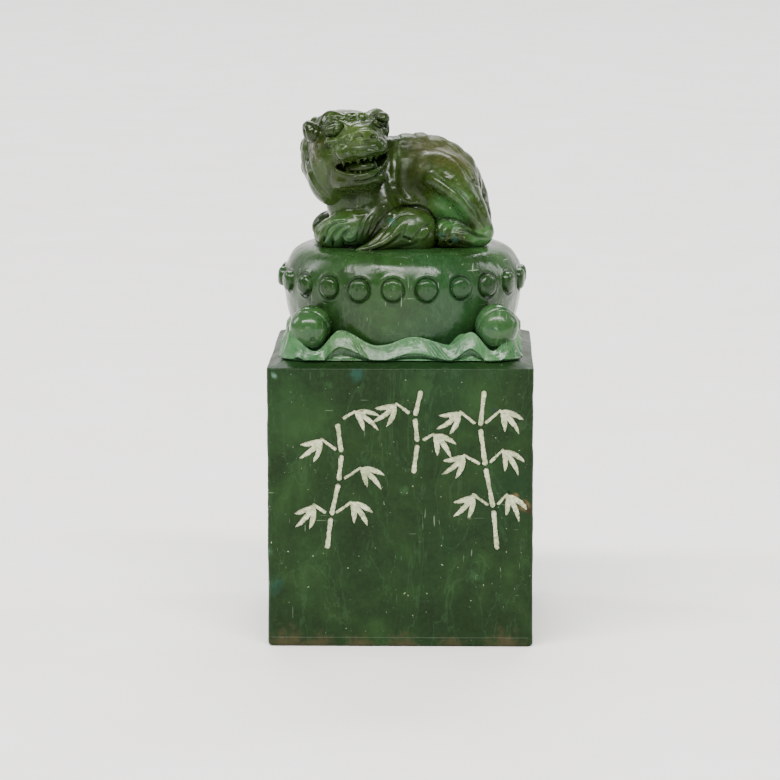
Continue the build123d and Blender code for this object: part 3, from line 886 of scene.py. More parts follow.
def make_drum():
    """The turned body, worn by hand, with a ring sunk round every nail."""
    profile = smooth_line(DRUM_PROFILE, pick(8))
    lengths = run_lengths(profile)
    rows = int(lengths[-1] / pick(0.15))
    along = np.linspace(0, lengths[-1], rows)
    radius = np.interp(along, lengths, profile[:, 0])
    level = np.interp(along, lengths, profile[:, 1])
    columns = pick(720)
    bearing = np.arange(columns) * 2 * math.pi / columns
    slow = lattice((rows, columns), (5, 17), 41)
    fine = lattice((rows, columns), (22, 90), 42)
    grain = lattice((rows, columns), (60, 420), 43)
    join = np.clip(np.minimum(np.arange(columns), columns - np.arange(columns)) / DRUM_SEAM, 0, 1)
    wave = (slow * 0.10 + fine * 0.022 + grain * 0.006) * join
    wave *= np.clip((DRUM_TOP + 0.15 - level) / 0.8, 0.25, 1)[:, None]
    dent = np.zeros((rows, columns))
    for turn, size, height in nail_places():
        across = (bearing - turn + math.pi) % (2 * math.pi) - math.pi
        away = np.hypot(across[None] * radius[:, None], (level - height)[:, None])
        dent += NAIL_RING_DEPTH * np.exp(-((away - size * 1.02) / 0.20) ** 2)
        dent -= NAIL_RING_LIP * np.exp(-((away - size * 1.35) / 0.25) ** 2)
    around = radius[:, None] + wave - dent
    slope = np.gradient(radius, along)
    points = np.stack([
        around * np.sin(bearing), -around * np.cos(bearing),
        level[:, None] + (wave - dent) * -slope[:, None] * 0.4,
    ], -1)
    points[..., 2] = np.minimum(points[..., 2], DRUM_TOP)
    piece = make_mesh("drum_body", *close_ends(points, rows, columns))
    keep_hollow(piece, dent)
    place(piece, "base_stone", "drum")


def make_nails():
    """One flattened dome a nail, all in one piece."""
    rings = 12
    columns = 32
    t = np.linspace(0, 1, rings)[1:] * math.pi / 2
    spin = np.arange(columns) * 2 * math.pi / columns
    places = []
    faces = []
    draw = np.random.default_rng(33)
    for turn, size, height in nail_places():
        tilt = draw.normal(size=2) * 0.06
        reach = size * np.concatenate([[1.0], np.cos(t) ** 0.62])
        rise = np.concatenate([[-0.9], 0.05 + NAIL_RISE * np.sin(t) ** 0.9])
        reach[-1] = size * 0.05
        wob = 1 + 0.025 * np.sin(2 * spin + draw.uniform(0, 6))
        wob = wob + 0.015 * np.sin(5 * spin + draw.uniform(0, 6))
        across = reach[:, None] * np.cos(spin) * wob
        up = reach[:, None] * np.sin(spin) * wob
        out = rise[:, None] + (across * tilt[0] + up * tilt[1]) * np.clip(rise[:, None], 0, 1)
        facing = np.array([math.sin(turn), -math.cos(turn), 0])
        side = np.array([math.cos(turn), math.sin(turn), 0])
        middle = facing * (drum_radius(height) - 0.02) + UP * height
        points = middle + out[..., None] * facing + across[..., None] * side + up[..., None] * UP
        made, ring = close_ends(points, rings, columns)
        faces.append(ring + sum(len(p) for p in places))
        places.append(made)
    piece = make_mesh("nail_heads", np.vstack(places), np.vstack(faces))
    place(piece, "base_stone", "drum_nails")


# Corner balls
SKIRT_WIDTH = 32.6
BALL_RADIUS = 3.05
BALL_SEAT = 1.35
BALL_PROUD = 0.55
BALL_REAR = 2.88
BALL_FRONT = 2.80
BALL_PIT_PIXEL = (312.5, 340.5)
BALLS = {
    "front_left": (-0.372, -0.400, 0.93),
    "front_right": (0.396, -0.400, 1.08),
    "rear_right": (0.385, 0.392, 1.00),
    "rear_left": (-0.385, 0.392, 1.04),
}


def ball_centre(name):
    across, back, lift = BALLS[name]
    return np.array([across * SKIRT_WIDTH, back * SKIRT_WIDTH, SKIRT_FOOT + BALL_SEAT * lift + BALL_RADIUS])


def make_balls():
    """Four balls, each of two eggs with the drill's ring where they meet."""
    step = pick(0.09)
    for number, name in enumerate(BALLS):
        centre = ball_centre(name)
        reach = BALL_RADIUS + 0.6
        clay = Clay(centre - reach, centre + reach, step)
        outward = np.array([centre[0], centre[1], 0]) / np.hypot(centre[0], centre[1])
        clay.egg(centre, (BALL_REAR,) * 3)
        facing = unit(outward * 0.55 + np.array([0, math.copysign(0.70, centre[1]), -0.40]))
        clay.egg(centre + facing * BALL_PROUD, (BALL_FRONT,) * 3)
        clay.rough(2.2, 0.05, 50 + number)
        clay.rough(0.7, 0.010, 60 + number)
        side = unit(np.cross(facing, (0, 0, 1)))
        above = np.cross(side, facing)
        from_rear = (BALL_REAR ** 2 - BALL_FRONT ** 2 + BALL_PROUD ** 2) / (2 * BALL_PROUD)
        crease = math.sqrt(BALL_REAR ** 2 - from_rear ** 2)
        ring = []
        for turn in np.linspace(0, 2, 37) * math.pi:
            edge = side * math.cos(turn) + above * math.sin(turn)
            ring.append(centre + edge * crease + facing * from_rear)
        clay.score(ring, 0.16, 0.20, ends=0, steps=1)
        if name == "front_left":
            pit = clay.spot(BALL_PIT_PIXEL)
            clay.egg(pit, (0.26, 0.30, 0.42), 0.1, cut=True)
        place(clay.skin("ball_" + name), "base_stone", "corner_ball_" + name)


# Rippled skirt: one band all round, made from a profile that follows the crest
SKIRT_STEPS = 3
SKIRT_CORNER = 3.2
SKIRT_CREST = 4.1
SKIRT_FLAT = SKIRT_WIDTH / 2 - SKIRT_CORNER
SKIRT_ARC = SKIRT_CORNER * math.pi / 2
SIDE_RUN = 2 * SKIRT_FLAT + SKIRT_ARC
BAND_LEAN = 0.95
FOLD_HEIGHT = 0.20
# Overlapping folds of the band: side, and where each starts at its top and ends at its foot
FOLDS = [
    (0, 0.17, 0.37), (0, 0.24, 0.46), (0, -0.44, -0.28), (1, 0.10, 0.30), (1, 0.17, 0.38), (1, -0.46, -0.30),
    (2, 0.06, 0.26), (2, 0.13, 0.34), (2, -0.50, -0.34), (3, 0.10, 0.30), (3, 0.17, 0.38), (3, -0.48, -0.32),
]
RIPPLES = {
    "front": [(-1, 1), (-0.74, 0.31), (-0.52, 1), (-0.20, 0.50), (0.12, 0.80), (0.43, 0.52), (0.61, 0.96),
              (0.80, 0.33), (1, 1)],
    "right": [(-1, 1), (-0.76, 0.33), (-0.52, 0.95), (-0.22, 0.50), (0.06, 0.85), (0.34, 0.50), (0.58, 0.95),
              (0.79, 0.33), (1, 1)],
    "rear": [(-1, 1), (-0.78, 0.33), (-0.56, 0.95), (-0.28, 0.52), (0.02, 0.85), (0.30, 0.50), (0.55, 1),
             (0.78, 0.33), (1, 1)],
    "left": [(-1, 1), (-0.77, 0.33), (-0.54, 1), (-0.25, 0.50), (0.04, 0.80), (0.36, 0.52), (0.60, 0.95),
             (0.80, 0.33), (1, 1)],
}


def skirt_plan(run):
    """Points round the skirt's face in plan, and the outward direction at each."""
    side = (run / SIDE_RUN).astype(int)
    part = run - side * SIDE_RUN - SKIRT_ARC / 2
    straight = np.clip(part, 0, 2 * SKIRT_FLAT)
    past = np.where(part > 2 * SKIRT_FLAT, part - 2 * SKIRT_FLAT, 0)
    bend = np.where(part < 0, part, past) / SKIRT_CORNER
    outward = np.stack([np.sin(bend), -np.cos(bend)], -1)
    middles = np.stack([straight - SKIRT_FLAT, np.full(len(run), -SKIRT_FLAT)], -1)
    turn = side * math.pi / 2
    return turned(middles + SKIRT_CORNER * outward, turn), turned(outward, turn)


def skirt_crest(run):
    """The crest's height at every place round the skirt, smooth between its turning points."""
    knots = []
    for side, turns in enumerate(RIPPLES.values()):
        for across, height in turns[:-1]:
            knots.append(((across + 1) / 2 * SIDE_RUN + side * SIDE_RUN, height * SKIRT_CREST))
    knots = np.array(knots)
    round_trip = [SIDE_RUN * 4, 0]
    knots = np.vstack([knots[-1] - round_trip, knots, knots[0] + round_trip])
    index = np.searchsorted(knots[:, 0], run, side="right") - 1
    smooth = ease((run - knots[index, 0]) / (knots[index + 1, 0] - knots[index, 0]))
    top = knots[index, 1] * (1 - smooth) + knots[index + 1, 1] * smooth
    draw = lattice((2, len(run)), (1, 60), 71)[0]
    fade_seam(draw, 12)
    return top + draw * 0.06


def skirt_under(run, top):
    """The height of the band's lower edge, which comes down to the block at the corners."""
    high = np.clip((top - 1.0) / 3.0, 0, 1)
    under = np.maximum(0.10, top - 1.95 - 0.25 * high)
    from_middle = np.abs(run / SIDE_RUN % 1 * 2 - 1)
    corner = np.clip((from_middle - 0.84) / 0.08, 0, 1)
    return under * (1 - corner) + 0.20 * corner


def skirt_profile(top, under):
    """Rows of places out from the skirt's face and heights: the foot, the band's face and its back."""
    gap = np.clip((under - 0.25) / 0.6, 0, 1)
    rise = under - 0.14
    foot = [
        (-1.3, -0.08),
        (-0.62, 0.0),
        (-0.55 + 0.30 * gap, 0.06 + 0.02 * gap),
        (-0.52 + 0.34 * gap, 0.09 + 0.10 * gap),
        (-0.52 + 0.12 * gap, 0.12 + 0.20 * gap),
        (-0.55 - 0.08 * gap, 0.14 + rise * 0.30),
        (-0.55 - 0.22 * gap, 0.14 + rise * 0.62),
        (-0.50 - 0.20 * gap, 0.14 + rise * 0.90),
        (-0.20 - 0.10 * gap, under),
        (0.10, under + 0.03),
        (0.17, under + 0.16),
    ]
    low = under + 0.20
    high = top - 0.10
    face = []
    for share in (0.0, 0.2, 0.4, 0.6, 0.8, 1.0):
        lean_in = 0.15 - BAND_LEAN * share - 0.10 * math.sin(share * math.pi)
        face.append((lean_in, low + (high - low) * share))
    back = [
        (-BAND_LEAN + 0.08, top - 0.01),
        (-BAND_LEAN - 0.08, top + 0.02),
        (-BAND_LEAN - 0.26, top - 0.03),
        (-BAND_LEAN - 0.42, top - 0.22),
        (-BAND_LEAN - 0.75, top - 0.45),
    ]
    return foot, face, back


def lay_folds(points, outward, run, up_share, tall):
    """Lays the overlapping folds on the band: a ridge each, with a sunk line beside it."""
    for side, start, end in FOLDS:
        where = (run / SIDE_RUN - side) * 2 - 1
        share = (where - start) / (end - start)
        line = 1.15 - 1.3 * np.clip(share, -0.2, 1.2)
        line = line + 0.10 * np.sin(np.clip(share, 0, 1) * 2 * math.pi)
        slope = tall * 1.3 / ((end - start) * SIDE_RUN / 2)
        away = (up_share[:, None] - line) * tall / np.sqrt(1 + slope ** 2)
        weight = np.clip((share + 0.12) / 0.15, 0, 1) * np.clip((1.12 - share) / 0.15, 0, 1)
        weight = weight * np.clip((1.1 - np.abs(up_share - 0.5) * 1.6), 0, 1)[:, None]
        ridge = np.exp(-(away / 0.22) ** 2) * FOLD_HEIGHT - np.exp(-((away + 0.36) / 0.20) ** 2) * FOLD_HEIGHT
        points[..., :2] += outward * (ridge * weight)[..., None]
        points[..., 2] += ridge * weight * 0.4


def make_skirt():
    """All four walls as one band, made from the profile at every place round it."""
    columns = pick(960)
    run = np.arange(columns) * (SIDE_RUN * 4) / columns
    plan, outward = skirt_plan(run)
    top = skirt_crest(run)
    under = skirt_under(run, top)
    foot, face, back = skirt_profile(top, under)
    profile = foot + face + back
    points = np.empty((len(profile) + 3, columns, 3))
    for row, (out, height) in enumerate(profile):
        points[row, :, :2] = plan + outward * np.reshape(out, (-1, 1))
        points[row, :, 2] = SKIRT_FOOT + height
    # the last three rows run in to the drum and down
    inner = plan * 0.76
    points[-3, :, :2] = points[-4, :, :2] * 0.5 + inner * 0.5
    points[-3, :, 2] = SKIRT_FOOT + top - 0.5
    points[-2, :, :2] = inner
    points[-2, :, 2] = SKIRT_FOOT + top * 0.6 + 0.3
    points[-1, :, :2] = inner * 0.96
    points[-1, :, 2] = SKIRT_FOOT - 0.05
    points = smooth_line(points, SKIRT_STEPS)
    up_share = (np.arange(len(points)) / SKIRT_STEPS - len(foot)) / (len(face) - 1)
    lay_folds(points, outward, run, up_share, np.maximum(top - under, 0.5))
    size = points.shape[:2]
    bumps = lattice(size, (24, 300), 72) * 0.02 + lattice(size, (8, 60), 73) * 0.03
    fade_seam(bumps, 10)
    points[..., :2] += outward * bumps[..., None]
    piece = make_mesh("skirt", points.reshape(-1, 3), ring_faces(*size, joined=True))
    place(piece, "base_stone", "wave_skirt_front", "wave_skirt_right", "wave_skirt_rear", "wave_skirt_left")


# Lion-dog: carved in clay as whole forms, then divided into its named pieces along the carver's forms
LION_LENGTH = 26.0
LION_DEPTH = 18.0
LION_HEIGHT = 19.0
LION_STEP = pick(0.105)
BODY_LOW = (-14.2, -10.9, 52.9)
BODY_HIGH = (13.8, 10.6, 70.4)
HEAD_LOW = (-14.6, -10.9, 56.6)
HEAD_HIGH = (1.8, 7.8, 73.0)
OVERLAP = 0.35
DIP = 0.35
CRUMB_POINTS = 260


def lion_point(along, back, up):
    return np.array([along * LION_LENGTH, back * LION_DEPTH, DRUM_TOP + up * LION_HEIGHT])


def lion_points(shares):
    return np.array([lion_point(*share) for share in shares])


def lion_radii(shares):
    return np.array(shares) * LION_HEIGHT


def lion_limb(clay, shares, radii, blend=0.0):
    """A limb from shares of the lion's length, depth and height."""
    clay.limb(lion_points(shares), lion_radii(radii), blend)


def depth_points(rows):
    """Places from rows of pixel column, pixel row and depth in mm."""
    return [on_depth((column, row), depth) for column, row, depth in rows]


class Carving:
    """One carved form and the blocked-out clay of each of its pieces."""

    def __init__(self, low, high):
        self.whole = Clay(low, high, LION_STEP)
        self.low = low
        self.high = high
        self.blocks = {}

    def block(self, name):
        self.blocks[name] = Clay(self.low, self.high, LION_STEP)
        return self.blocks[name]

    def join(self, name, blend):
        self.whole.f = soft_min(self.whole.f, self.blocks[name].f, blend)

    def pieces(self):
        """Each piece is the carved form where its own block is the nearest, with a small lap."""
        for name, block in self.blocks.items():
            others = np.full_like(block.f, np.inf)
            for clay in self.blocks.values():
                if clay is not block:
                    others = np.minimum(others, clay.f)
            owned = Clay(self.low, self.high, LION_STEP)
            past = (block.f - others) * 0.5
            owned.f = np.maximum(self.whole.f + np.maximum(past, 0) * DIP, past - OVERLAP).astype(np.float32)
            piece = owned.skin("carved_" + name, self.whole)
            drop_crumbs(piece)
            place(piece, "lion_stone", name)


def drop_crumbs(piece):
    """Keeps a carved piece's large shells and takes away stray crumbs of a few faces."""
    mesh = piece.data
    count = len(mesh.vertices)
    edges = np.empty(len(mesh.edges) * 2, np.int64)
    mesh.edges.foreach_get("vertices", edges)
    edges = edges.reshape(-1, 2)
    label = np.arange(count)
    while True:
        least = np.minimum(label[edges[:, 0]], label[edges[:, 1]])
        before = label.copy()
        np.minimum.at(label, edges[:, 0], least)
        np.minimum.at(label, edges[:, 1], least)
        label = label[label]
        if (label == before).all():
            break
    sizes = np.bincount(label, minlength=count)
    crumbs = sizes[label] < CRUMB_POINTS
    if not crumbs.any():
        return
    tool = bmesh.new()
    tool.from_mesh(mesh)
    tool.verts.ensure_lookup_table()
    bmesh.ops.delete(tool, geom=[tool.verts[k] for k in np.nonzero(crumbs)[0]], context="VERTS")
    tool.to_mesh(mesh)
    tool.free()


HAUNCH_CREST = [(433, 180, -6.6), (447, 191, -7.6), (459, 202, -7.8), (469, 216, -7.2), (479, 230, -6.2)]
PLUME_CURVE = [(405, 232, -6.9), (388, 240, -7.6), (371, 247, -8.5), (357, 250.8, -9.0)]
# Lines on the near side in the order they are cut: pixels, width, depth or minus height, fade of the ends
FLANK_LINES = [
    ([(405, 158), (406, 176), (413, 192), (425, 201), (436, 208)], 1.3, 0.55, 0.6),
    ([(396, 140), (395.5, 152), (395, 168), (395, 184), (400, 195), (409, 202), (418, 203)],
     0.50, -0.55, 0.35),
    ([(389, 187), (395, 186), (402, 187)], 0.14, 0.22, 0.8),
    ([(402, 152), (416, 149), (430, 149.5), (444, 153), (456, 160), (466, 171), (474, 182), (482, 195)],
     0.34, 0.20, 0.6),
]
STRIP_STROKES = [
    [(424, 139), (436, 145), (449, 154)],
    [(432, 138), (446, 144), (458, 154)],
    [(410, 139), (420, 142), (430, 147)],
    [(440, 137), (454, 145), (464, 157)],
    [(460, 156), (468, 165), (473, 176)],
    [(464, 160), (472, 168), (476, 180)],
]
HAUNCH_LINES = [
    ([(431, 194), (444, 205), (455, 215), (463, 226)], 1.05, 0.55, 0.6),
    ([(430, 174), (438, 181), (449, 190), (460, 199), (467, 209), (473, 220), (479, 231)], 0.62, -0.50, 0.5),
    ([(470, 200), (476, 209), (481, 219), (486, 229)], 0.20, 0.22, 0.6),
    ([(473, 229.5), (480, 233), (487, 231)], 0.26, -0.22, 0.6),
    ([(435, 223), (443, 219.5), (453, 219), (463, 223), (473, 229)], 0.19, 0.40, 0.6),
    ([(455, 230.5), (466, 231.5), (478, 237), (489, 238)], 0.19, 0.30, 0.6),
]
TOE_AND_CHEST_LINES = [
    ([(454, 220.5), (444, 223), (438.5, 230), (437.5, 240), (441, 249)], 0.20, 0.40),
    ([(458, 223.5), (449, 225.5), (444.5, 232), (444, 241), (447.5, 250)], 0.30, -0.34),
    ([(461, 227), (453.5, 229), (450, 235), (450, 242), (454, 250)], 0.19, 0.42),
    ([(475, 242.5), (466, 240.5), (457, 238)], 0.34, -0.34),
    ([(478, 246), (466, 245.5), (456, 244)], 0.18, 0.16),
    ([(344, 218.5), (333, 221), (325, 227), (321, 236), (320.5, 247)], 0.28, -0.26),
    ([(346, 221), (335, 223), (328, 229), (324.8, 237), (324.5, 248)], 0.15, 0.34),
    ([(347, 223), (338, 225), (331.5, 231), (328.6, 239), (328.8, 249)], 0.28, -0.28),
    ([(349, 225.5), (341, 227), (335, 233), (333, 240), (333.5, 249)], 0.15, 0.36),
    ([(351, 227.5), (344, 229), (339.5, 234), (338, 241), (339, 249)], 0.28, -0.28),
    ([(353, 230), (347, 231), (343.5, 236), (343, 242), (345, 249)], 0.15, 0.30),
    ([(350, 212), (358, 215.5), (366, 214)], 0.22, -0.14),
    ([(342, 206), (350, 209), (362, 209)], 0.25, 0.10),
]
PAW_KNUCKLE = (350, 236)
PAW_FUR = [
    [(366, 215), (361, 224), (358, 234), (356, 243)],
    [(371, 215), (366, 225), (363, 236), (360, 244)],
    [(376, 216), (371, 227), (367, 238)],
    [(380, 219), (375, 231), (371, 240)],
]
PAW_FUR_RIDGES = [
    [(368.5, 215), (363.5, 225), (360.5, 236)],
    [(373.5, 216), (368.5, 227), (365, 238)],
    [(378, 218), (373, 230), (369, 239)],
]
PLUME_LINES = [
    ([(366, 241), (374, 232), (381, 222), (387, 214.5), (395, 209), (406, 206.5), (418, 206.5), (428, 211),
      (434, 219), (436.5, 230), (435, 243)], 0.17, 0.40, 0.3),
    ([(418, 211.5), (406, 210.5), (396, 214), (387, 223), (379, 234), (369, 245)], 0.20, -0.16, 0.6),
    ([(414, 215), (404, 214.5), (395, 219), (386, 230), (377, 240), (364, 248.5)], 0.15, 0.26, 0.6),
    ([(404, 221), (399, 227), (394, 235), (384, 243), (371, 248), (357, 251)], 0.36, -0.36, 0.6),
    ([(409, 222), (404, 231), (396, 240), (383, 247.5), (366, 252)], 0.18, 0.26, 0.6),
    ([(429, 227), (426, 234), (421, 240)], 0.28, -0.26, 0.6),
    ([(432, 222), (421, 229), (414.5, 238)], 0.17, 0.24, 0.6),
    ([(419, 241), (412, 245), (402, 247)], 0.17, 0.16, 0.6),
]
PLUME_PITS = [(404.5, 237.5), (407, 239), (409.5, 240)]
# The far side, which no pixel shows: places across and up in mm, then as above
FAR_SIDE = 10.4
FAR_TOES = (5.4, 6.5, 7.6)
FAR_LINES = [
    ([(3.6, 63.4), (6.6, 61.8), (9.0, 59.2), (10.4, 56.6)], 0.62, -0.42, 0.5),
    ([(2.6, 60.6), (5.2, 59.0), (7.2, 57.0)], 0.95, 0.36, 0.6),
    ([(11.0, 57.6), (9.6, 56.6), (8.0, 56.7), (6.6, 57.0)], 0.19, 0.36, 0.6),
    ([(-1.6, 66.2), (-2.0, 63.4), (-2.0, 60.6), (-0.6, 58.4), (1.2, 57.4)], 0.50, -0.40, 0.4),
    ([(0.8, 64.6), (0.6, 61.6), (1.6, 59.2), (3.2, 57.6)], 1.1, 0.42, 0.6),
    *[([(x + 1.0, 56.2), (x + 0.1, 55.4), (x, 54.4), (x + 0.3, 53.5)], 0.18, 0.30, 0.5) for x in FAR_TOES],
]
# Toes of the fore paws seen from their front: places, the lean of each line and its depth
PAW_FRONTS = [((1.6, 2.8, 4.0, 5.1), 0.1, 0.30), ((-5.4, -4.4, -3.4, -2.4), -0.1, 0.28)]
REAR_X = 13.6
SPINE_KNOBS = [
    (-0.07, 0.02, 0.722, 0.062), (0.01, 0.03, 0.737, 0.065), (0.09, 0.03, 0.742, 0.068),
    (0.17, 0.03, 0.719, 0.068), (0.245, 0.03, 0.665, 0.065), (0.31, 0.03, 0.592, 0.062),
]
SPINE_ARCH = (-1.9, -1.2, -0.5, 0.2, 0.9, 1.6)
TAIL_KNOBS = [(0.375, 0.08, 0.47, 0.055), (0.412, 0.09, 0.33, 0.055), (0.430, 0.08, 0.21, 0.050)]


def block_body(body):
    """The masses of the lion's body, legs and tail, piece by piece."""
    torso = body.block("lion_torso")
    torso.egg(lion_point(0.12, 0.05, 0.36), lion_radii((0.41, 0.34, 0.40)))
    torso.egg(lion_point(-0.12, 0.02, 0.38), lion_radii((0.33, 0.31, 0.37)), 1.6)
    torso.egg(lion_point(0.02, 0.02, 0.10), (8.8, 5.4, 2.9), 1.0)
    torso.egg(lion_point(0.235, 0.03, 0.40), lion_radii((0.22, 0.27, 0.27)), 1.5)
    body.join("lion_torso", 0)

    chest = body.block("lion_chest")
    chest.egg(lion_point(-0.24, -0.17, 0.32), lion_radii((0.22, 0.19, 0.23)))
    chest.egg(lion_point(-0.215, -0.24, 0.345), lion_radii((0.125, 0.115, 0.11)), 1.6)
    body.join("lion_chest", 1.0)

    haunch_axes = ((0.86, 0, -0.51), (0, 1, 0), (0.51, 0, 0.86))
    leg = body.block("left_hind_leg")
    leg.egg(lion_point(0.21, -0.185, 0.42), (5.2, 3.4, 4.9), 0.0, haunch_axes)
    lion_limb(leg, [(0.24, -0.25, 0.43), (0.335, -0.29, 0.28), (0.415, -0.25, 0.12)],
              [0.175, 0.140, 0.09], 1.5)
    leg.limb(depth_points(HAUNCH_CREST), [1.15, 1.10, 1.0, 0.9, 0.75], 0.6)
    lion_limb(leg, [(0.415, -0.245, 0.085), (0.35, -0.285, 0.090), (0.27, -0.33, 0.088)],
              [0.085, 0.105, 0.092], 0.9)
    leg.egg(lion_point(0.225, -0.335, 0.095), (1.5, 1.75, 1.95), 0.6)
    body.join("left_hind_leg", 1.1)

    leg = body.block("right_hind_leg")
    leg.egg(lion_point(0.19, 0.225, 0.38), (5.0, 3.3, 4.6), 0.0, haunch_axes)
    lion_limb(leg, [(0.22, 0.29, 0.38), (0.31, 0.34, 0.24), (0.385, 0.31, 0.11)], [0.165, 0.135, 0.085], 1.6)
    lion_limb(leg, [(0.385, 0.31, 0.085), (0.33, 0.36, 0.088), (0.25, 0.40, 0.085)],
              [0.080, 0.098, 0.088], 0.9)
    body.join("right_hind_leg", 1.1)

    leg = body.block("left_fore_leg")
    lion_limb(leg, [(-0.13, -0.20, 0.38), (-0.11, -0.29, 0.235), (-0.23, -0.335, 0.150)],
              [0.16, 0.135, 0.112])
    lion_limb(leg, [(-0.20, -0.325, 0.140), (-0.29, -0.335, 0.128), (-0.355, -0.31, 0.105)],
              [0.120, 0.112, 0.110], 1.2)
    leg.egg(lion_point(-0.375, -0.275, 0.088), (2.3, 2.3, 1.85), 0.9)
    body.join("left_fore_leg", 0.9)

    leg = body.block("right_fore_leg")
    lion_limb(leg, [(-0.18, 0.19, 0.36), (-0.15, 0.28, 0.22), (-0.26, 0.28, 0.15)], [0.17, 0.14, 0.11])
    lion_limb(leg, [(-0.24, 0.28, 0.14), (-0.32, 0.26, 0.125), (-0.385, 0.20, 0.105)],
              [0.12, 0.108, 0.105], 1.2)
    leg.egg(lion_point(-0.405, 0.17, 0.09), (2.1, 2.2, 1.75), 0.9)
    body.join("right_fore_leg", 0.9)

    spine = body.block("spine_crest")
    line = lion_points([knob[:3] for knob in SPINE_KNOBS])
    spine.limb(line - UP * 1.05, [1.15] * len(line), 0.2)
    for *centre, radius in SPINE_KNOBS:
        spine.egg(lion_point(*centre) - UP * 0.15, np.array([1.45, 1.85, 0.95]) * radius * LION_HEIGHT, 0.40)
    body.join("spine_crest", 0.8)

    tail = body.block("lion_tail")
    lion_limb(tail, [(0.335, 0.10, 0.53), (0.385, 0.12, 0.40), (0.412, 0.12, 0.22), (0.415, 0.04, 0.10)],
              [0.062, 0.070, 0.075, 0.085])
    for *centre, radius in TAIL_KNOBS:
        tail.egg(lion_point(*centre), np.array([1.0, 1.5, 1.25]) * radius * LION_HEIGHT, 0.45)
    body.join("lion_tail", 0.35)

    plume = body.block("tail_plume")
    plume.egg(on_depth((411, 233), -6.2), (3.7, 2.45, 3.55))
    plume.limb(depth_points(PLUME_CURVE), [2.1, 1.45, 0.72, 0.25], 0.9)
    body.join("tail_plume", 0.3)


def carve_near_side(whole):
    """Grooves, ridges, toes and fur as photographed."""
    whole.trace(FLANK_LINES)
    for line in STRIP_STROKES:
        whole.score(whole.pin(line), 0.15, 0.11, ends=0.9)
    whole.trace(HAUNCH_LINES)
    whole.trace(TOE_AND_CHEST_LINES, 0.5)
    knuckle = whole.spot(PAW_KNUCKLE) + [0, 0.35, 0]
    whole.curl(knuckle, (-0.25, -1, 0.25), 0.95, 0.62, turns=1.1, hand=-1, blend=0.35, depth=0.16)
    for line in PAW_FUR:
        whole.score(whole.pin(line), 0.14, 0.20, ends=0.7)
    for line in PAW_FUR_RIDGES:
        whole.score(whole.pin(line), 0.17, -0.14, ends=0.7)
    whole.trace(PLUME_LINES)
    for pixel in PLUME_PITS:
        whole.egg(whole.spot(pixel), (0.30, 0.28, 0.22), 0.12, cut=True)


def carve_body(body):
    """The near side, then the spine, the far side with the same forms in its own pose, and the rear."""
    whole = body.whole
    carve_near_side(whole)
    # the knobs of the spine are parted from each other
    for first, second in zip(SPINE_KNOBS, SPINE_KNOBS[1:]):
        middle = (lion_point(*first[:3]) + lion_point(*second[:3])) / 2
        arch = [middle + [0.1 + 0.25 * abs(y), y, 1.6 - 0.5 * abs(y)] for y in SPINE_ARCH]
        whole.drape(arch, (-0.1, 0, -1), 0.17, 0.20, 0.5)
    for line, *cut in FAR_LINES:
        whole.drape([(x, FAR_SIDE, z) for x, z in line], (0, -1, 0), *cut)
    for places, shift, depth in PAW_FRONTS:
        for y in places:
            toe = [(-13.9, y, 53.4), (-13.9, y, 54.4), (-13.7, y, 55.6), (-12.8, y + shift, 57.4)]
            whole.drape(toe, (1, 0, -0.15), 0.17, depth, 0.5)
    # fur of the tail, and the hams behind it
    for aside in (-0.75, -0.25, 0.25, 0.75):
        hair = [(REAR_X, 2.2 + aside, 63.0), (REAR_X, 2.35 + aside, 60.2), (REAR_X, 2.2 + aside, 57.6),
                (REAR_X, 1.2 + aside * 1.3, 55.2)]
        whole.drape(hair, (-1, 0, 0), 0.16, 0.18, 0.5)
    for hand in (-1, 1):
        ham = [(13.7, 2.2 + hand * 2.6, 62.5), (13.7, 2.2 + hand * 3.3, 59.5), (13.7, 2.0 + hand * 3.2, 56.5)]
        whole.drape(ham, (-1, 0, 0), 0.45, 0.28, 0.6)
    whole.rough(1.5, 0.035, 301)
    whole.rough(0.55, 0.014, 302)


HEAD_SIZE = 10.8
HEAD_YAW = math.radians(18)
HEAD_ROLL = math.radians(5)
HEAD_CENTRE = lion_point(-0.28, -0.172, 0.695)
yaw_across = np.array([math.cos(HEAD_YAW), math.sin(HEAD_YAW), 0.0])
HEAD_BACK = np.array([-math.sin(HEAD_YAW), math.cos(HEAD_YAW), 0.0])
HEAD_ACROSS = yaw_across * math.cos(HEAD_ROLL) + UP * math.sin(HEAD_ROLL)
HEAD_UP = np.cross(HEAD_ACROSS, HEAD_BACK)
HEAD_AXES = np.array([HEAD_ACROSS, HEAD_BACK, HEAD_UP])


def head_point(across, back, up):
    return HEAD_CENTRE + (HEAD_ACROSS * across + HEAD_BACK * back + HEAD_UP * up) * HEAD_SIZE


def head_line(shares):
    return np.array([head_point(*share) for share in shares])


def head_egg(clay, place_shares, size_shares, blend):
    """An egg placed, sized and turned by the head."""
    clay.egg(head_point(*place_shares), np.array(size_shares) * HEAD_SIZE, blend, HEAD_AXES)


def leaning(degrees):
    """The head's axes, leaned about its back to front line."""
    turn = math.radians(degrees)
    across = HEAD_ACROSS * math.cos(turn) - HEAD_UP * math.sin(turn)
    up = HEAD_UP * math.cos(turn) + HEAD_ACROSS * math.sin(turn)
    return np.array([across, HEAD_BACK, up])


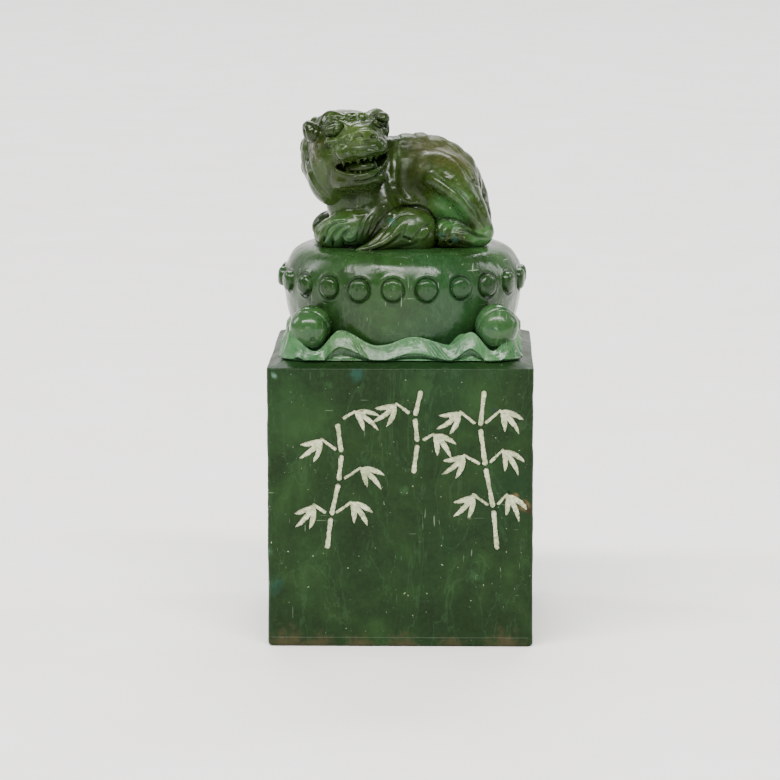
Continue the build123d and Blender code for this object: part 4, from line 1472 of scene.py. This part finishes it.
MANE_CENTRE = (-0.02, 0.28, -0.12)
MANE_SIZES = (0.54, 0.36, 0.60)
CURL_SEAT = 0.95
CURL_ROWS = [(0.30, 5, 0.120), (0.04, 6, 0.130), (-0.24, 6, 0.130), (-0.50, 5, 0.115)]
CURL_BEARING = 56
MOUTH_LINE = [(-0.29, -0.40, -0.150), (-0.17, -0.52, -0.165), (-0.02, -0.58, -0.165), (0.13, -0.57, -0.140),
              (0.26, -0.46, -0.105), (0.36, -0.28, -0.090)]
MOUTH_RADII = [0.30, 0.62, 0.84, 0.86, 0.76, 0.50]
LIP_LINE = [(-0.32, -0.34, -0.165), (-0.24, -0.47, -0.220), (-0.12, -0.58, -0.270), (0.02, -0.61, -0.275),
            (0.16, -0.57, -0.235), (0.28, -0.44, -0.195), (0.36, -0.28, -0.160)]
# Each eye: its pixel, the sizes of its socket and the fillet there, the sizes of its ball and how it leans
EYES = [
    ((336.3, 130.6), (1.62, 0.50, 0.90), 0.25, (1.52, 0.66, 0.86), -4),
    ((380, 123.8), (1.08, 0.45, 0.62), 0.22, (1.02, 0.56, 0.58), -2),
]
LIDS = [
    ([(321, 133), (325, 127), (331, 123), (339, 121.5), (346, 124.5), (349.5, 130)], 0.24, -0.30),
    ([(322, 134), (327, 138), (334, 139.8), (341, 137.3), (347, 133.5)], 0.20, -0.22),
    ([(371.5, 122.5), (375, 118.8), (380, 117.8), (384.5, 119.5)], 0.18, -0.20),
    ([(373, 126.5), (378, 128.6), (384, 128.6)], 0.16, -0.18),
]
FACE_LINES = [
    ([(325, 152), (325, 163), (329, 173)], 0.22, -0.12),
    ([(345, 139), (350, 135), (352, 131)], 0.20, 0.22),
    ([(336, 167), (330, 173), (329, 182), (337, 191)], 0.30, 0.12),
    ([(321, 121), (316, 128), (312, 139)], 0.22, 0.20),
    ([(310, 142), (311, 148), (309, 152)], 0.22, 0.18),
]
LIP_LINES = [
    ([(352, 142.8), (362, 141.6), (375, 142.8)], 0.15, 0.18),
    ([(352, 146.3), (361, 145.8), (377, 144.2)], 0.15, 0.20),
    ([(351, 150), (362, 149.8), (380, 146.5)], 0.15, 0.18),
    ([(350, 128), (355, 124.7), (361, 123), (369, 122.5)], 0.14, 0.22),
    ([(349, 125), (354, 121.5), (360, 120), (368, 119.2)], 0.14, 0.20),
    ([(355, 130), (363, 127.3), (373, 127.3)], 0.14, 0.14),
    ([(337, 160), (346, 156.5), (355, 154.5), (362, 156), (370, 152.5), (380, 151), (391, 151)], 0.26, -0.20),
]
NOSTRILS = [((357.5, 137), 0.66), ((373.5, 136.5), 0.50)]
POUCHES = [((334, 142.3), 1.45), ((383, 131.5), 0.75)]
POUCH_LEAN = 4
NOSTRIL_SWIRL = [
    ([(352, 141), (349.5, 137.5), (352, 134.2), (357.5, 133.3), (361.8, 136), (361.5, 140), (357, 141.2)],
     0.14, 0.24),
]
LEFT_BROW = [(323.5, 123), (328, 117.8), (335, 115.8), (342, 118)]
RIGHT_BROW = [(368.5, 118), (373, 114.8), (378.5, 114.2), (383.5, 117)]
BROW_KNOTS = [
    ((352, 117.5), 0.90, -1), ((333, 118.4), 0.80, 1), ((377.5, 116.5), 0.90, -1), ((363, 116.5), 0.65, 1),
]
BROW_ARCS = [
    ([(343, 121), (345, 117.5), (350, 115), (357, 114.2)], 0.17, 0.18),
    ([(348, 123), (351, 119.6), (356, 117.6), (361, 117.6)], 0.15, 0.22),
    ([(326, 120.5), (332, 117.5), (340, 118.5)], 0.15, 0.18),
    ([(372, 117.5), (377, 115), (383, 116)], 0.15, 0.20),
]
RUFF_LINES = [
    ([(311, 150), (308.5, 160), (311, 171), (316, 182), (324, 192), (333, 199)], 0.30, 0.30),
    ([(307.5, 150), (305.5, 160), (308, 172), (312.5, 182), (319, 192), (328, 200)], 0.14, -0.16),
    ([(305, 156), (304.5, 164), (307, 175), (312, 186)], 0.12, 0.14),
]
# Fur of the cheek and of the side: the pixels it is drawn between, and how many hairs
FUR = [((324, 139.5), (343, 147), 10), ((385, 139), (392, 150), 5)]
EAR_LEAN = 20
EARS = [(-1, (-0.470, -0.03, 0.262), (1.25, 1.75, 1.50)), (1, (0.455, -0.01, 0.190), (1.05, 1.60, 1.30))]
UPPER_TEETH = [(-0.215, 0.036, 0.060), (-0.140, 0.038, 0.035), (-0.055, 0.040, 0.045), (0.030, 0.040, 0.032),
               (0.115, 0.038, 0.050), (0.210, 0.040, 0.050)]
LOWER_TEETH = [(-0.175, 0.036, 0.060), (-0.095, 0.032, 0.035), (-0.03, 0.032, 0.035), (0.04, 0.032, 0.035),
               (0.11, 0.032, 0.035), (0.185, 0.036, 0.065)]


def block_head(head):
    """The masses of the head, piece by piece."""
    skull = head.block("lion_head")
    head_egg(skull, (0, 0, 0.02), (0.50, 0.48, 0.48), 0)
    head_egg(skull, (-0.22, -0.20, -0.12), (0.25, 0.24, 0.28), 1.4)
    head_egg(skull, (0.23, -0.22, -0.08), (0.20, 0.21, 0.26), 1.2)
    head_egg(skull, (0, -0.28, 0.19), (0.27, 0.20, 0.17), 1.0)
    head_egg(skull, (-0.02, -0.16, -0.30), (0.40, 0.33, 0.21), 1.4)
    head.join("lion_head", 0)

    mane = head.block("mane")
    head_egg(mane, MANE_CENTRE, MANE_SIZES, 0)
    head_egg(mane, (-0.16, -0.04, -0.30), (0.42, 0.30, 0.42), 1.4)
    head.join("mane", 0.7)

    jaw = head.block("lower_jaw")
    head_egg(jaw, (0.0, -0.36, -0.34), (0.35, 0.27, 0.165), 0)
    jaw.limb(head_line(LIP_LINE), [0.32, 0.40, 0.46, 0.48, 0.44, 0.38, 0.28], 0.7)
    head.join("lower_jaw", 1.0)

    muzzle = head.block("upper_jaw")
    head_egg(muzzle, (0.01, -0.45, 0.08), (0.33, 0.24, 0.17), 0)
    head_egg(muzzle, (-0.155, -0.56, 0.03), (0.17, 0.13, 0.12), 0.8)
    head_egg(muzzle, (0.165, -0.55, 0.04), (0.18, 0.13, 0.12), 0.8)
    head_egg(muzzle, (0.01, -0.40, 0.24), (0.16, 0.20, 0.12), 0.9)
    head.join("upper_jaw", 0.9)

    curls = head.block("mane_curls")
    for row, (up, count, radius) in enumerate(CURL_ROWS):
        lift = up - MANE_CENTRE[2]
        rise = math.sqrt(max(0.05, 1 - (lift / MANE_SIZES[2]) ** 2))
        for number, bearing in enumerate(np.linspace(-CURL_BEARING, CURL_BEARING, count)):
            sin, cos = math.sin(math.radians(bearing)), math.cos(math.radians(bearing))
            facing = HEAD_ACROSS * sin + HEAD_BACK * cos + HEAD_UP * lift * 1.1
            centre = head_point(MANE_CENTRE[0] + sin * MANE_SIZES[0] * rise * CURL_SEAT,
                                MANE_CENTRE[1] + cos * MANE_SIZES[1] * rise * CURL_SEAT, up)
            hand = -1 if bearing < 0 else 1
            curls.curl(centre, facing, radius * HEAD_SIZE, 0.80, 1.5, hand, 0.10, 0.22, (number + row) * 0.8)
    head.join("mane_curls", 0.12)

    ears = head.block("ears")
    for hand, centre, sizes in EARS:
        axes = leaning(EAR_LEAN * hand)
        ears.egg(head_point(*centre), sizes, 0.05, axes)
        tip = head_point(centre[0] + 0.03 * hand, centre[1] + 0.02, centre[2] + 0.09)
        ears.egg(tip, (0.75, 1.2, 0.75), 0.4, axes)
    head.join("ears", 0.4)

    nose = head.block("nose")
    head_egg(nose, (0.01, -0.62, 0.20), (0.12, 0.09, 0.080), 0)
    head_egg(nose, (-0.125, -0.60, 0.175), (0.090, 0.085, 0.070), 0.4)
    head_egg(nose, (0.145, -0.59, 0.185), (0.090, 0.085, 0.070), 0.4)
    bridge = [(-0.17, -0.59, 0.235), (-0.05, -0.65, 0.255), (0.07, -0.65, 0.255), (0.19, -0.58, 0.245)]
    nose.limb(head_line(bridge), [0.22, 0.34, 0.34, 0.22], 0.35)
    head.join("nose", 0.35)


def carve_head(head):
    """Mouth, brows, eyes, fur and wrinkles. It returns the middles of the eyes."""
    whole = head.whole
    # the open mouth goes right back into the head
    for back, share in ((-0.6, 1.0), (0.5, 1.0), (1.5, 0.9)):
        radii = np.array(MOUTH_RADII) * share
        whole.limb(head_line(MOUTH_LINE) + HEAD_BACK * back, radii, 0.25, cut=True)

    # brows go on before the sockets are cut under them
    brows = head.block("brows")
    brows.limb(whole.pin(LEFT_BROW) + HEAD_BACK * 0.42, [0.45, 0.66, 0.68, 0.48], 0.2)
    brows.limb(whole.pin(RIGHT_BROW) + HEAD_BACK * 0.42, [0.45, 0.64, 0.68, 0.50], 0.2)
    head_egg(brows, (0.42, -0.22, 0.36), (0.085, 0.10, 0.085), 0.3)
    for pixel, radius, hand in BROW_KNOTS:
        centre = whole.spot(pixel)
        out = centre - head_point(0, 0.05, 0.02)
        brows.curl(centre + HEAD_BACK * 0.20, out, radius, 0.60, turns=1.1, hand=hand, blend=0.2, depth=0.0)
    head.join("brows", 0.45)
    whole.trace(BROW_ARCS, 0.6)

    middles = whole.pin([eye[0] for eye in EYES])
    for middle, (_, socket, blend, _, lean) in zip(middles, EYES):
        whole.egg(middle, socket, blend, leaning(lean), cut=True)
    whole.trace(LIDS, 0.5)
    for pixel, size in NOSTRILS:
        centre = whole.spot(pixel) + HEAD_BACK * 0.05
        whole.egg(centre, (size, 0.42, size * 0.60), 0.22, HEAD_AXES, cut=True)
    # pouches under the eyes
    for pixel, width in POUCHES:
        centre = whole.spot(pixel) + HEAD_BACK * 0.35
        whole.egg(centre, (width, 0.70, 0.50), 0.35, leaning(POUCH_LEAN))
    whole.trace(NOSTRIL_SWIRL, 0.4)
    whole.trace(LIP_LINES + FACE_LINES + RUFF_LINES, 0.6)
    lip = head_line(LIP_LINE)
    whole.score(lip - HEAD_UP * 0.72 - HEAD_BACK * 0.15, 0.22, 0.16, ends=0.5)
    whole.score(lip - HEAD_UP * 0.02 - HEAD_BACK * 0.45, 0.11, 0.13, ends=0.5)

    # ears: a fold inside each and hair over its back
    for hand, centre, _ in EARS:
        base = head_point(*centre)
        out = HEAD_ACROSS * hand
        fold = [
            base + out * 1.9 + HEAD_UP * 1.0, base + out * 2.0 - HEAD_BACK * 0.6,
            base + out * 1.9 - HEAD_UP * 1.1,
        ]
        whole.drape(fold, -out, 0.26, 0.26, 0.5)
        start = base + out * 2
        for shift in (0.25, 0.75, 1.2):
            hair = [start + HEAD_UP * 1.1 + HEAD_BACK * shift, start + HEAD_BACK * (shift + 0.15),
                    start - HEAD_UP * 1.0 + HEAD_BACK * (shift + 0.3)]
            whole.drape(hair, -out, 0.13, 0.14, 0.6)

    draw = np.random.default_rng(181)
    for low, high, count in FUR:
        for share in np.linspace(0, 1, count):
            start = (low[0] + (high[0] - low[0]) * share, low[1] + draw.uniform(-0.5, 1))
            end = (start[0] + draw.uniform(-2.5, 0.5), high[1] + draw.uniform(-2, 1.5))
            middle = ((start[0] + end[0]) / 2 + 0.6, (start[1] + end[1]) / 2)
            whole.score(whole.pin([start, middle, end]), 0.13, 0.15, ends=0.8)
    whole.rough(1.1, 0.030, 311)
    whole.rough(0.45, 0.012, 312)
    return middles


def make_eyes(middles):
    """The balls of the eyes, each with a proud iris and a ring round it."""
    eyes = Clay((-12.4, -10.0, 66.5), (0.4, -2.5, 72.8), LION_STEP * 0.8)
    for middle, (*_, sizes, lean) in zip(middles, EYES):
        axes = leaning(lean)
        centre = middle + HEAD_BACK * 0.46
        eyes.egg(centre, sizes, 0.05, axes)
        iris = centre + axes[0] * sizes[0] * 0.24 - HEAD_BACK * sizes[1] * 0.62
        eyes.egg(iris, np.array((0.40, 0.46, 0.66)) * sizes, 0.10, axes)
        ring = []
        for step in range(13):
            angle = step * math.pi / 6
            across = math.cos(angle) * sizes[0] * 0.44 + sizes[0] * 0.24
            up = math.sin(angle) * sizes[2] * 0.70
            ring.append(centre + (axes[0] * across + axes[2] * up) - HEAD_BACK * sizes[1] * 0.82)
        eyes.score(ring, 0.12, 0.16, ends=0, steps=1)
    place(eyes.skin("carved_eyes"), "lion_stone", "eyes")


def make_mouth_parts():
    """The tongue with its furrow, and both rows of teeth."""
    tongue = Clay((-10.2, -10.0, 62.4), (-0.8, -2.6, 66.4), LION_STEP)
    head_egg(tongue, (0.01, -0.38, -0.190), (0.21, 0.20, 0.085), 0)
    head_egg(tongue, (0.04, -0.52, -0.180), (0.12, 0.07, 0.055), 0.5)
    furrow = head_line([(0.02, -0.60, -0.13), (0.02, -0.46, -0.120), (0.0, -0.28, -0.120)])
    tongue.score(furrow, 0.20, 0.20, ends=0.3)
    place(tongue.skin("carved_tongue"), "lion_stone", "tongue")
    teeth = Clay((-11.4, -10.7, 62.0), (0.6, -4.0, 68.4), LION_STEP * 0.8)
    for across, width, length in UPPER_TEETH:
        back = -0.585 + 2.2 * across ** 2
        lift = -0.062 + 0.06 * across
        teeth.limb([head_point(across, back, lift), head_point(across, back + 0.012, lift - length)],
                   [width * HEAD_SIZE, width * HEAD_SIZE * 0.42], 0.05)
    for across, width, length in LOWER_TEETH:
        back = -0.555 + 2.0 * across ** 2
        rise = -0.262 + 0.05 * across + 1.2 * across ** 2
        teeth.limb([head_point(across, back, rise), head_point(across, back, rise + length)],
                   [width * HEAD_SIZE, width * HEAD_SIZE * 0.5], 0.05)
    place(teeth.skin("carved_teeth"), "lion_stone", "teeth")


def make_lion():
    body = Carving(BODY_LOW, BODY_HIGH)
    block_body(body)
    carve_body(body)
    body.pieces()
    head = Carving(HEAD_LOW, HEAD_HIGH)
    block_head(head)
    middles = carve_head(head)
    head.pieces()
    make_eyes(middles)
    make_mouth_parts()


# Finishes
# Painted shade: the dark green that hollows, grooves and the rings round the nails are darkened towards
PAINTED_SHADE_GREEN = srgb(14, 22, 8)
# Paler green for raised parts: partly wear and partly a painted highlight
WORN_AND_HIGHLIGHT_GREEN = srgb(112, 140, 92)
PALE_SPECK = srgb(186, 196, 160)
DARK_SPECK = srgb(24, 34, 18)
SCRATCH = srgb(168, 186, 158)
SCRATCH_RUNS = [
    ((0, 0.5, 0), (14, 1, 1), 3.3), ((0, -0.6, 0.3), (1, 1, 17), 6.4), ((0.3, 1.1, 0.1), (12, 1, 1.4), 8.8),
]


def jade(name, tones, rough, specular, stains=(), dull_places=(), trait=None, trait_gain=1.0, specks=1.0,
         scratches=1.0):
    """Mottled green stone: cloudy tones, fine grain, pale and dark specks, hairline scratches and stains, and
    from a trait painted shade in hollows and paler raised parts, partly wear and partly a painted highlight.
    """
    n = Nodes(name)
    cloud = n.noise(135.0, 6.0, 0.62, 0.6, lift=1.7)
    colour = n.ramp(cloud, (0.30, tones[0]), (0.45, tones[1]), (0.56, tones[2]), (0.70, tones[3]))
    drift = n.noise(60.0, 3.0, 0.5, 0.2, lift=4.2)
    colour = n.mix(n.window(drift, 0.48, 0.70, 0.0, 0.55), colour, tones[4])
    grain = n.noise(1500.0, 5.0, 0.7, lift=2.9)
    colour = n.mix(n.window(grain, 0.35, 0.70, 0.0, 0.30), colour, tones[3])
    vein = n.noise(170.0, 4.0, 0.6, 1.4, n.stretched((0.2, 0.5, 0.4), (1.0, 1.0, 0.35)), lift=7.7)
    veined = n.window(n.maths("ABSOLUTE", n.minus(vein, 0.5)), 0.0, 0.018, 0.22, 0.0)
    colour = n.mix(veined, colour, tones[5])
    for centre, radius, tint, share, ragged in stains:
        spot = n.near(centre, radius, ragged)
        colour = n.mix(n.times(spot, share), colour, tint)
    pale_speck = n.window(n.noise(2600.0, 2.0, 0.6, lift=5.5), 0.70, 0.78, 0.0, 0.75 * specks)
    colour = n.mix(pale_speck, colour, PALE_SPECK)
    dark_speck = n.window(n.noise(1300.0, 2.0, 0.5, lift=9.1), 0.70, 0.77, 0.0, 0.65)
    colour = n.mix(dark_speck, colour, DARK_SPECK)
    marks = None
    for turn, sizes, seed in SCRATCH_RUNS:
        line = n.noise(210.0, 2.0, 0.5, 0.15, n.stretched(turn, sizes), lift=seed)
        hair = n.window(line, 0.705, 0.735)
        marks = hair if marks is None else n.maths("MAXIMUM", marks, hair)
    patches = n.window(n.noise(95.0, 2.0, 0.5, lift=12.0), 0.48, 0.60)
    marks = n.times(marks, patches)
    colour = n.mix(n.times(marks, 0.28 * scratches), colour, SCRATCH)
    if trait:
        value = n.trait(trait)
        low, high = (0.02, 0.16) if trait == "hollow" else (-0.05, -0.30)
        # painted shade: the deeper a point lies in a hollow, the darker it is made
        sunk = n.window(value, low * trait_gain, high * trait_gain)
        colour = n.mix(n.times(sunk, 0.62), colour, PAINTED_SHADE_GREEN)
        if trait == "relief":
            # raised parts made paler in patches: partly wear and partly a painted highlight
            raised = n.window(value, 0.30 * trait_gain, 0.65 * trait_gain)
            worn = n.times(raised, n.window(n.noise(500.0, 4.0, 0.6, lift=3.0), 0.40, 0.65, 0.0, 0.16))
            colour = n.mix(worn, colour, WORN_AND_HIGHLIGHT_GREEN)
    gloss = n.noise(260.0, 5.0, 0.6, lift=11.0)
    roughness = n.window(gloss, 0.32, 0.68, rough[0], rough[1])
    roughness = n.plus(roughness, n.times(marks, 0.22))
    roughness = n.plus(roughness, n.times(pale_speck, 0.15))
    for centre, radius, more in dull_places:
        roughness = n.plus(roughness, n.times(n.near(centre, radius, 0.5), more))
    height = n.times(n.noise(420.0, 4.0, 0.55, lift=14.0), 0.45)
    height = n.plus(height, n.times(n.noise(1900.0, 3.0, 0.6, lift=15.0), 0.16))
    height = n.plus(height, n.times(n.noise(5200.0, 2.0, 0.6, lift=16.0), 0.07))
    height = n.minus(height, n.times(marks, 0.10))
    height = n.minus(height, n.times(dark_speck, 0.18))
    return n.finish(colour, roughness, height, 0.09, Specular_IOR_Level=specular)


def shades(*colours):
    return [srgb(*colour) for colour in colours]


# Four tones from dark to pale, the tone that drifts over them and the veins
BLOCK_TONES = shades((14, 30, 9), (18, 37, 13), (24, 45, 17), (35, 60, 27), (16, 42, 20), (50, 78, 48))
BASE_TONES = shades((16, 34, 10), (22, 44, 14), (29, 56, 21), (44, 74, 36), (22, 56, 32), (64, 94, 62))
# The skirt's tones are paler than the base's: partly the stone's own colour and partly a painted highlight on
# the band's upward faces
SKIRT_AND_HIGHLIGHT_TONES = shades((34, 62, 30), (46, 80, 43), (62, 100, 58), (92, 130, 86), (46, 88, 60), (112, 144, 108))
LION_TONES = shades((15, 24, 3), (24, 36, 7), (34, 50, 12), (54, 73, 28), (30, 54, 22), (74, 96, 54))

# Stains and patches of the stone: tint, its share, how ragged, then pixel, depth in mm and radius in mm
SOFT_GREEN = srgb(37, 65, 31)
PALE_GREEN = srgb(52, 88, 52)
FRESH_GREEN = srgb(64, 110, 60)
YELLOW_GREEN = srgb(68, 86, 34)
WORN_EDGE = srgb(98, 134, 114)
BLUE_GREEN = srgb(40, 86, 78)
DARK_BLUE = srgb(24, 42, 42)
BROWN_SKIN = srgb(64, 56, 36)
RUST = srgb(99, 81, 51)
DARK_RUST = srgb(48, 33, 21)
OLIVE = srgb(58, 58, 20)
DARK_OLIVE = srgb(28, 34, 8)
BLOCK_STAINS = [
    (SOFT_GREEN, 0.45, 0.6, [((300, 420), -18, 8.0), ((418, 386), -18, 3.6), ((480, 392), -18, 4.0)]),
    (PALE_GREEN, 0.35, 0.8, [((330, 385), -18, 1.2), ((404, 490), -18, 1.4), ((475, 576), -18, 2.4)]),
    (WORN_EDGE, 0.55, 0.8, [((274, 376), -18, 0.9), ((268, 552), -18, 1.0)]),
    (BLUE_GREEN, 0.34, 0.8, [((276, 585), -18, 2.4), ((357, 374), -18, 2.2)]),
    (DARK_BLUE, 0.55, 0.8, [((512, 412), -18, 1.4), ((494, 410), -18, 0.9)]),
    (BROWN_SKIN, 0.72, 0.7, [((288, 647), -18, 4.6), ((320, 650), -18, 4.0), ((358, 650), -18, 3.8),
                             ((402, 650), -18, 4.2), ((450, 651), -18, 3.8), ((505, 648), -18, 4.6)]),
    (RUST, 0.85, 0.6, [((524, 506), -18, 1.3), ((515, 497), -18, 0.9)]),
    (DARK_RUST, 0.85, 0.6, [((529, 511), -18, 0.8)]),
]
LION_STAINS = [
    (DARK_OLIVE, 0.60, 0.5, [((345, 170), -8, 4.2), ((412, 180), -5, 3.2)]),
    (OLIVE, 0.55, 0.5, [((322, 150), -5, 3.4), ((455, 168), -4, 4.4), ((440, 150), -2, 6.5)]),
    (YELLOW_GREEN, 0.50, 0.5, [((358, 132), -9, 3.6)]),
    (PALE_GREEN, 0.58, 0.5, [((340, 238), -8, 4.6), ((345, 236), 6, 4.4)]),
    (SOFT_GREEN, 0.60, 0.5, [((410, 235), -8, 4.2), ((405, 234), 7, 4.4)]),
    (FRESH_GREEN, 0.62, 0.5, [((452, 210), -7, 4.2), ((480, 238), -6, 3.2), ((470, 222), 6, 4.2)]),
    (BLUE_GREEN, 0.48, 0.7, [((325, 242), -8, 1.3), ((440, 235), -8, 1.2), ((455, 240), -8, 1.1),
                             ((392, 222), -8, 1.2)]),
]


def stain_places(stains):
    """Each stain as centre, radius, tint, share and raggedness."""
    return [(on_depth(pixel, depth), radius, tint, share, ragged)
            for tint, share, ragged, spots in stains for pixel, depth, radius in spots]


DULL_PLACES = [((425, 146), -1, 5.5, 0.22), ((455, 160), -2, 5.5, 0.22), ((415, 175), -5, 4.0, 0.16),
               ((330, 175), -6, 5.0, 0.10)]
PASTE_TONES = ((0.32, srgb(122, 136, 96)), (0.50, srgb(176, 180, 146)), (0.68, srgb(212, 210, 182)))
PASTE_STAIN = srgb(120, 138, 92)


def dry_paste():
    """Crusted pale paste, stained green in places."""
    n = Nodes("pale_paste")
    crumb = n.noise(1700.0, 5.0, 0.7, lift=1.0)
    stain = n.window(n.noise(260.0, 4.0, 0.6, lift=2.0), 0.52, 0.68, 0.0, 0.7)
    colour = n.mix(stain, n.ramp(crumb, *PASTE_TONES), PASTE_STAIN)
    return n.finish(colour, n.window(crumb, 0.3, 0.7, 0.72, 0.92), crumb, 0.10, Specular_IOR_Level=0.35)


def paint():
    """Gives every piece its stone, and the CAD's seal face the block's."""
    block_stains = stain_places(BLOCK_STAINS)
    lion_stains = stain_places(LION_STAINS)
    dull = [(on_depth(pixel, depth), radius, more) for pixel, depth, radius, more in DULL_PLACES]
    # the drum's hollows and the block's cuts and pits get painted shade from their hollow trait, the lion's
    # from its relief
    base = jade("base_jade", BASE_TONES, (0.16, 0.34), 0.25, trait="hollow", scratches=1.5)
    ball = jade("ball_jade", BASE_TONES[1:] + SKIRT_AND_HIGHLIGHT_TONES[3:4], (0.14, 0.28), 0.3, specks=1.4)
    lion = jade("lion_jade", LION_TONES, (0.15, 0.31), 0.24, lion_stains, dull, "relief", specks=1.6)
    seal = jade("seal_jade", BLOCK_TONES, (0.34, 0.52), 0.12, block_stains, specks=0.8)
    finishes = {
        "block": jade("block_jade", BLOCK_TONES, (0.34, 0.52), 0.12, block_stains, trait="hollow",
                      trait_gain=1.6, specks=1.2),
        "skirt": jade("skirt_jade_with_painted_highlight", SKIRT_AND_HIGHLIGHT_TONES, (0.20, 0.38), 0.35, specks=1.4),
        "spray_paste": dry_paste(), "drum_body": base, "nail_heads": base,
    }
    for piece in bpy.data.objects:
        if piece.type != "MESH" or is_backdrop(piece):
            continue
        material = finishes.get(piece.name, ball if piece.name.startswith("ball_") else lion)
        if "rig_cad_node" in piece:
            material = seal
        piece.data.materials.clear()
        piece.data.materials.append(material)


def make_stage():
    """A pale floor that runs up behind into a plain backdrop."""
    reach = 3.0
    back = 1.6
    bend = 0.5
    top = 2.6
    profile = [(-reach, 0.0), (back, 0.0)]
    for step in range(1, 13):
        angle = step / 12 * math.pi / 2
        profile.append((back + bend * math.sin(angle), bend * (1 - math.cos(angle))))
    profile.append((back + bend, top))
    places = [(x / MM, y / MM, z / MM) for y, z in profile for x in (-reach, reach)]
    faces = [[2 * k, 2 * k + 1, 2 * k + 3, 2 * k + 2] for k in range(len(profile) - 1)]
    floor = make_mesh("floor", places, faces)
    n = Nodes("floor_paper")
    colour = n.ramp(n.noise(40.0, 3.0, 0.5), (0.3, srgb(244, 243, 240)), (0.7, srgb(249, 248, 246)))
    floor.data.materials.append(n.finish(colour, 0.75, Specular_IOR_Level=0.2))
    floor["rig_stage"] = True


def softbox(name, bearing, height, away, size, power, colour=(1.0, 1.0, 1.0)):
    """A soft lamp that looks at the seal from a bearing and a height in degrees, distances in m."""
    data = bpy.data.lights.new(name, "AREA")
    data.shape = "RECTANGLE"
    data.size, data.size_y = size
    data.energy = power
    data.color = colour
    lamp = bpy.data.objects.new(name, data)
    bpy.context.scene.collection.objects.link(lamp)
    turn = math.radians(bearing)
    rise = math.radians(height)
    flat = math.cos(rise)
    aim = Vector((0.0, 0.0, 0.040))
    lamp.location = aim + Vector((math.sin(turn) * flat, -math.cos(turn) * flat, math.sin(rise))) * away
    lamp.rotation_euler = (lamp.location - aim).to_track_quat("Z", "Y").to_euler()


def light():
    """A soft pale world and five softboxes."""
    world = bpy.data.worlds.new("studio")
    world.use_nodes = True
    background = world.node_tree.nodes["Background"]
    background.inputs["Color"].default_value = (0.90, 0.95, 1.0, 1.0)
    background.inputs["Strength"].default_value = 0.31
    bpy.context.scene.world = world
    softbox("key", -10, 56, 1.90, (2.70, 0.26), 100.0, (1.0, 0.98, 0.95))
    softbox("front", -5, 9, 2.00, (0.18, 0.18), 3.6)
    softbox("side", 108, 28, 2.00, (0.40, 0.90), 12.0)
    softbox("rear", 178, 46, 2.20, (1.40, 0.40), 34.0)
    softbox("left", -112, 28, 2.00, (0.40, 0.90), 12.0)


make_block()
make_paste()
make_drum()
make_nails()
make_balls()
make_skirt()
make_lion()
make_stage()
paint()
light()
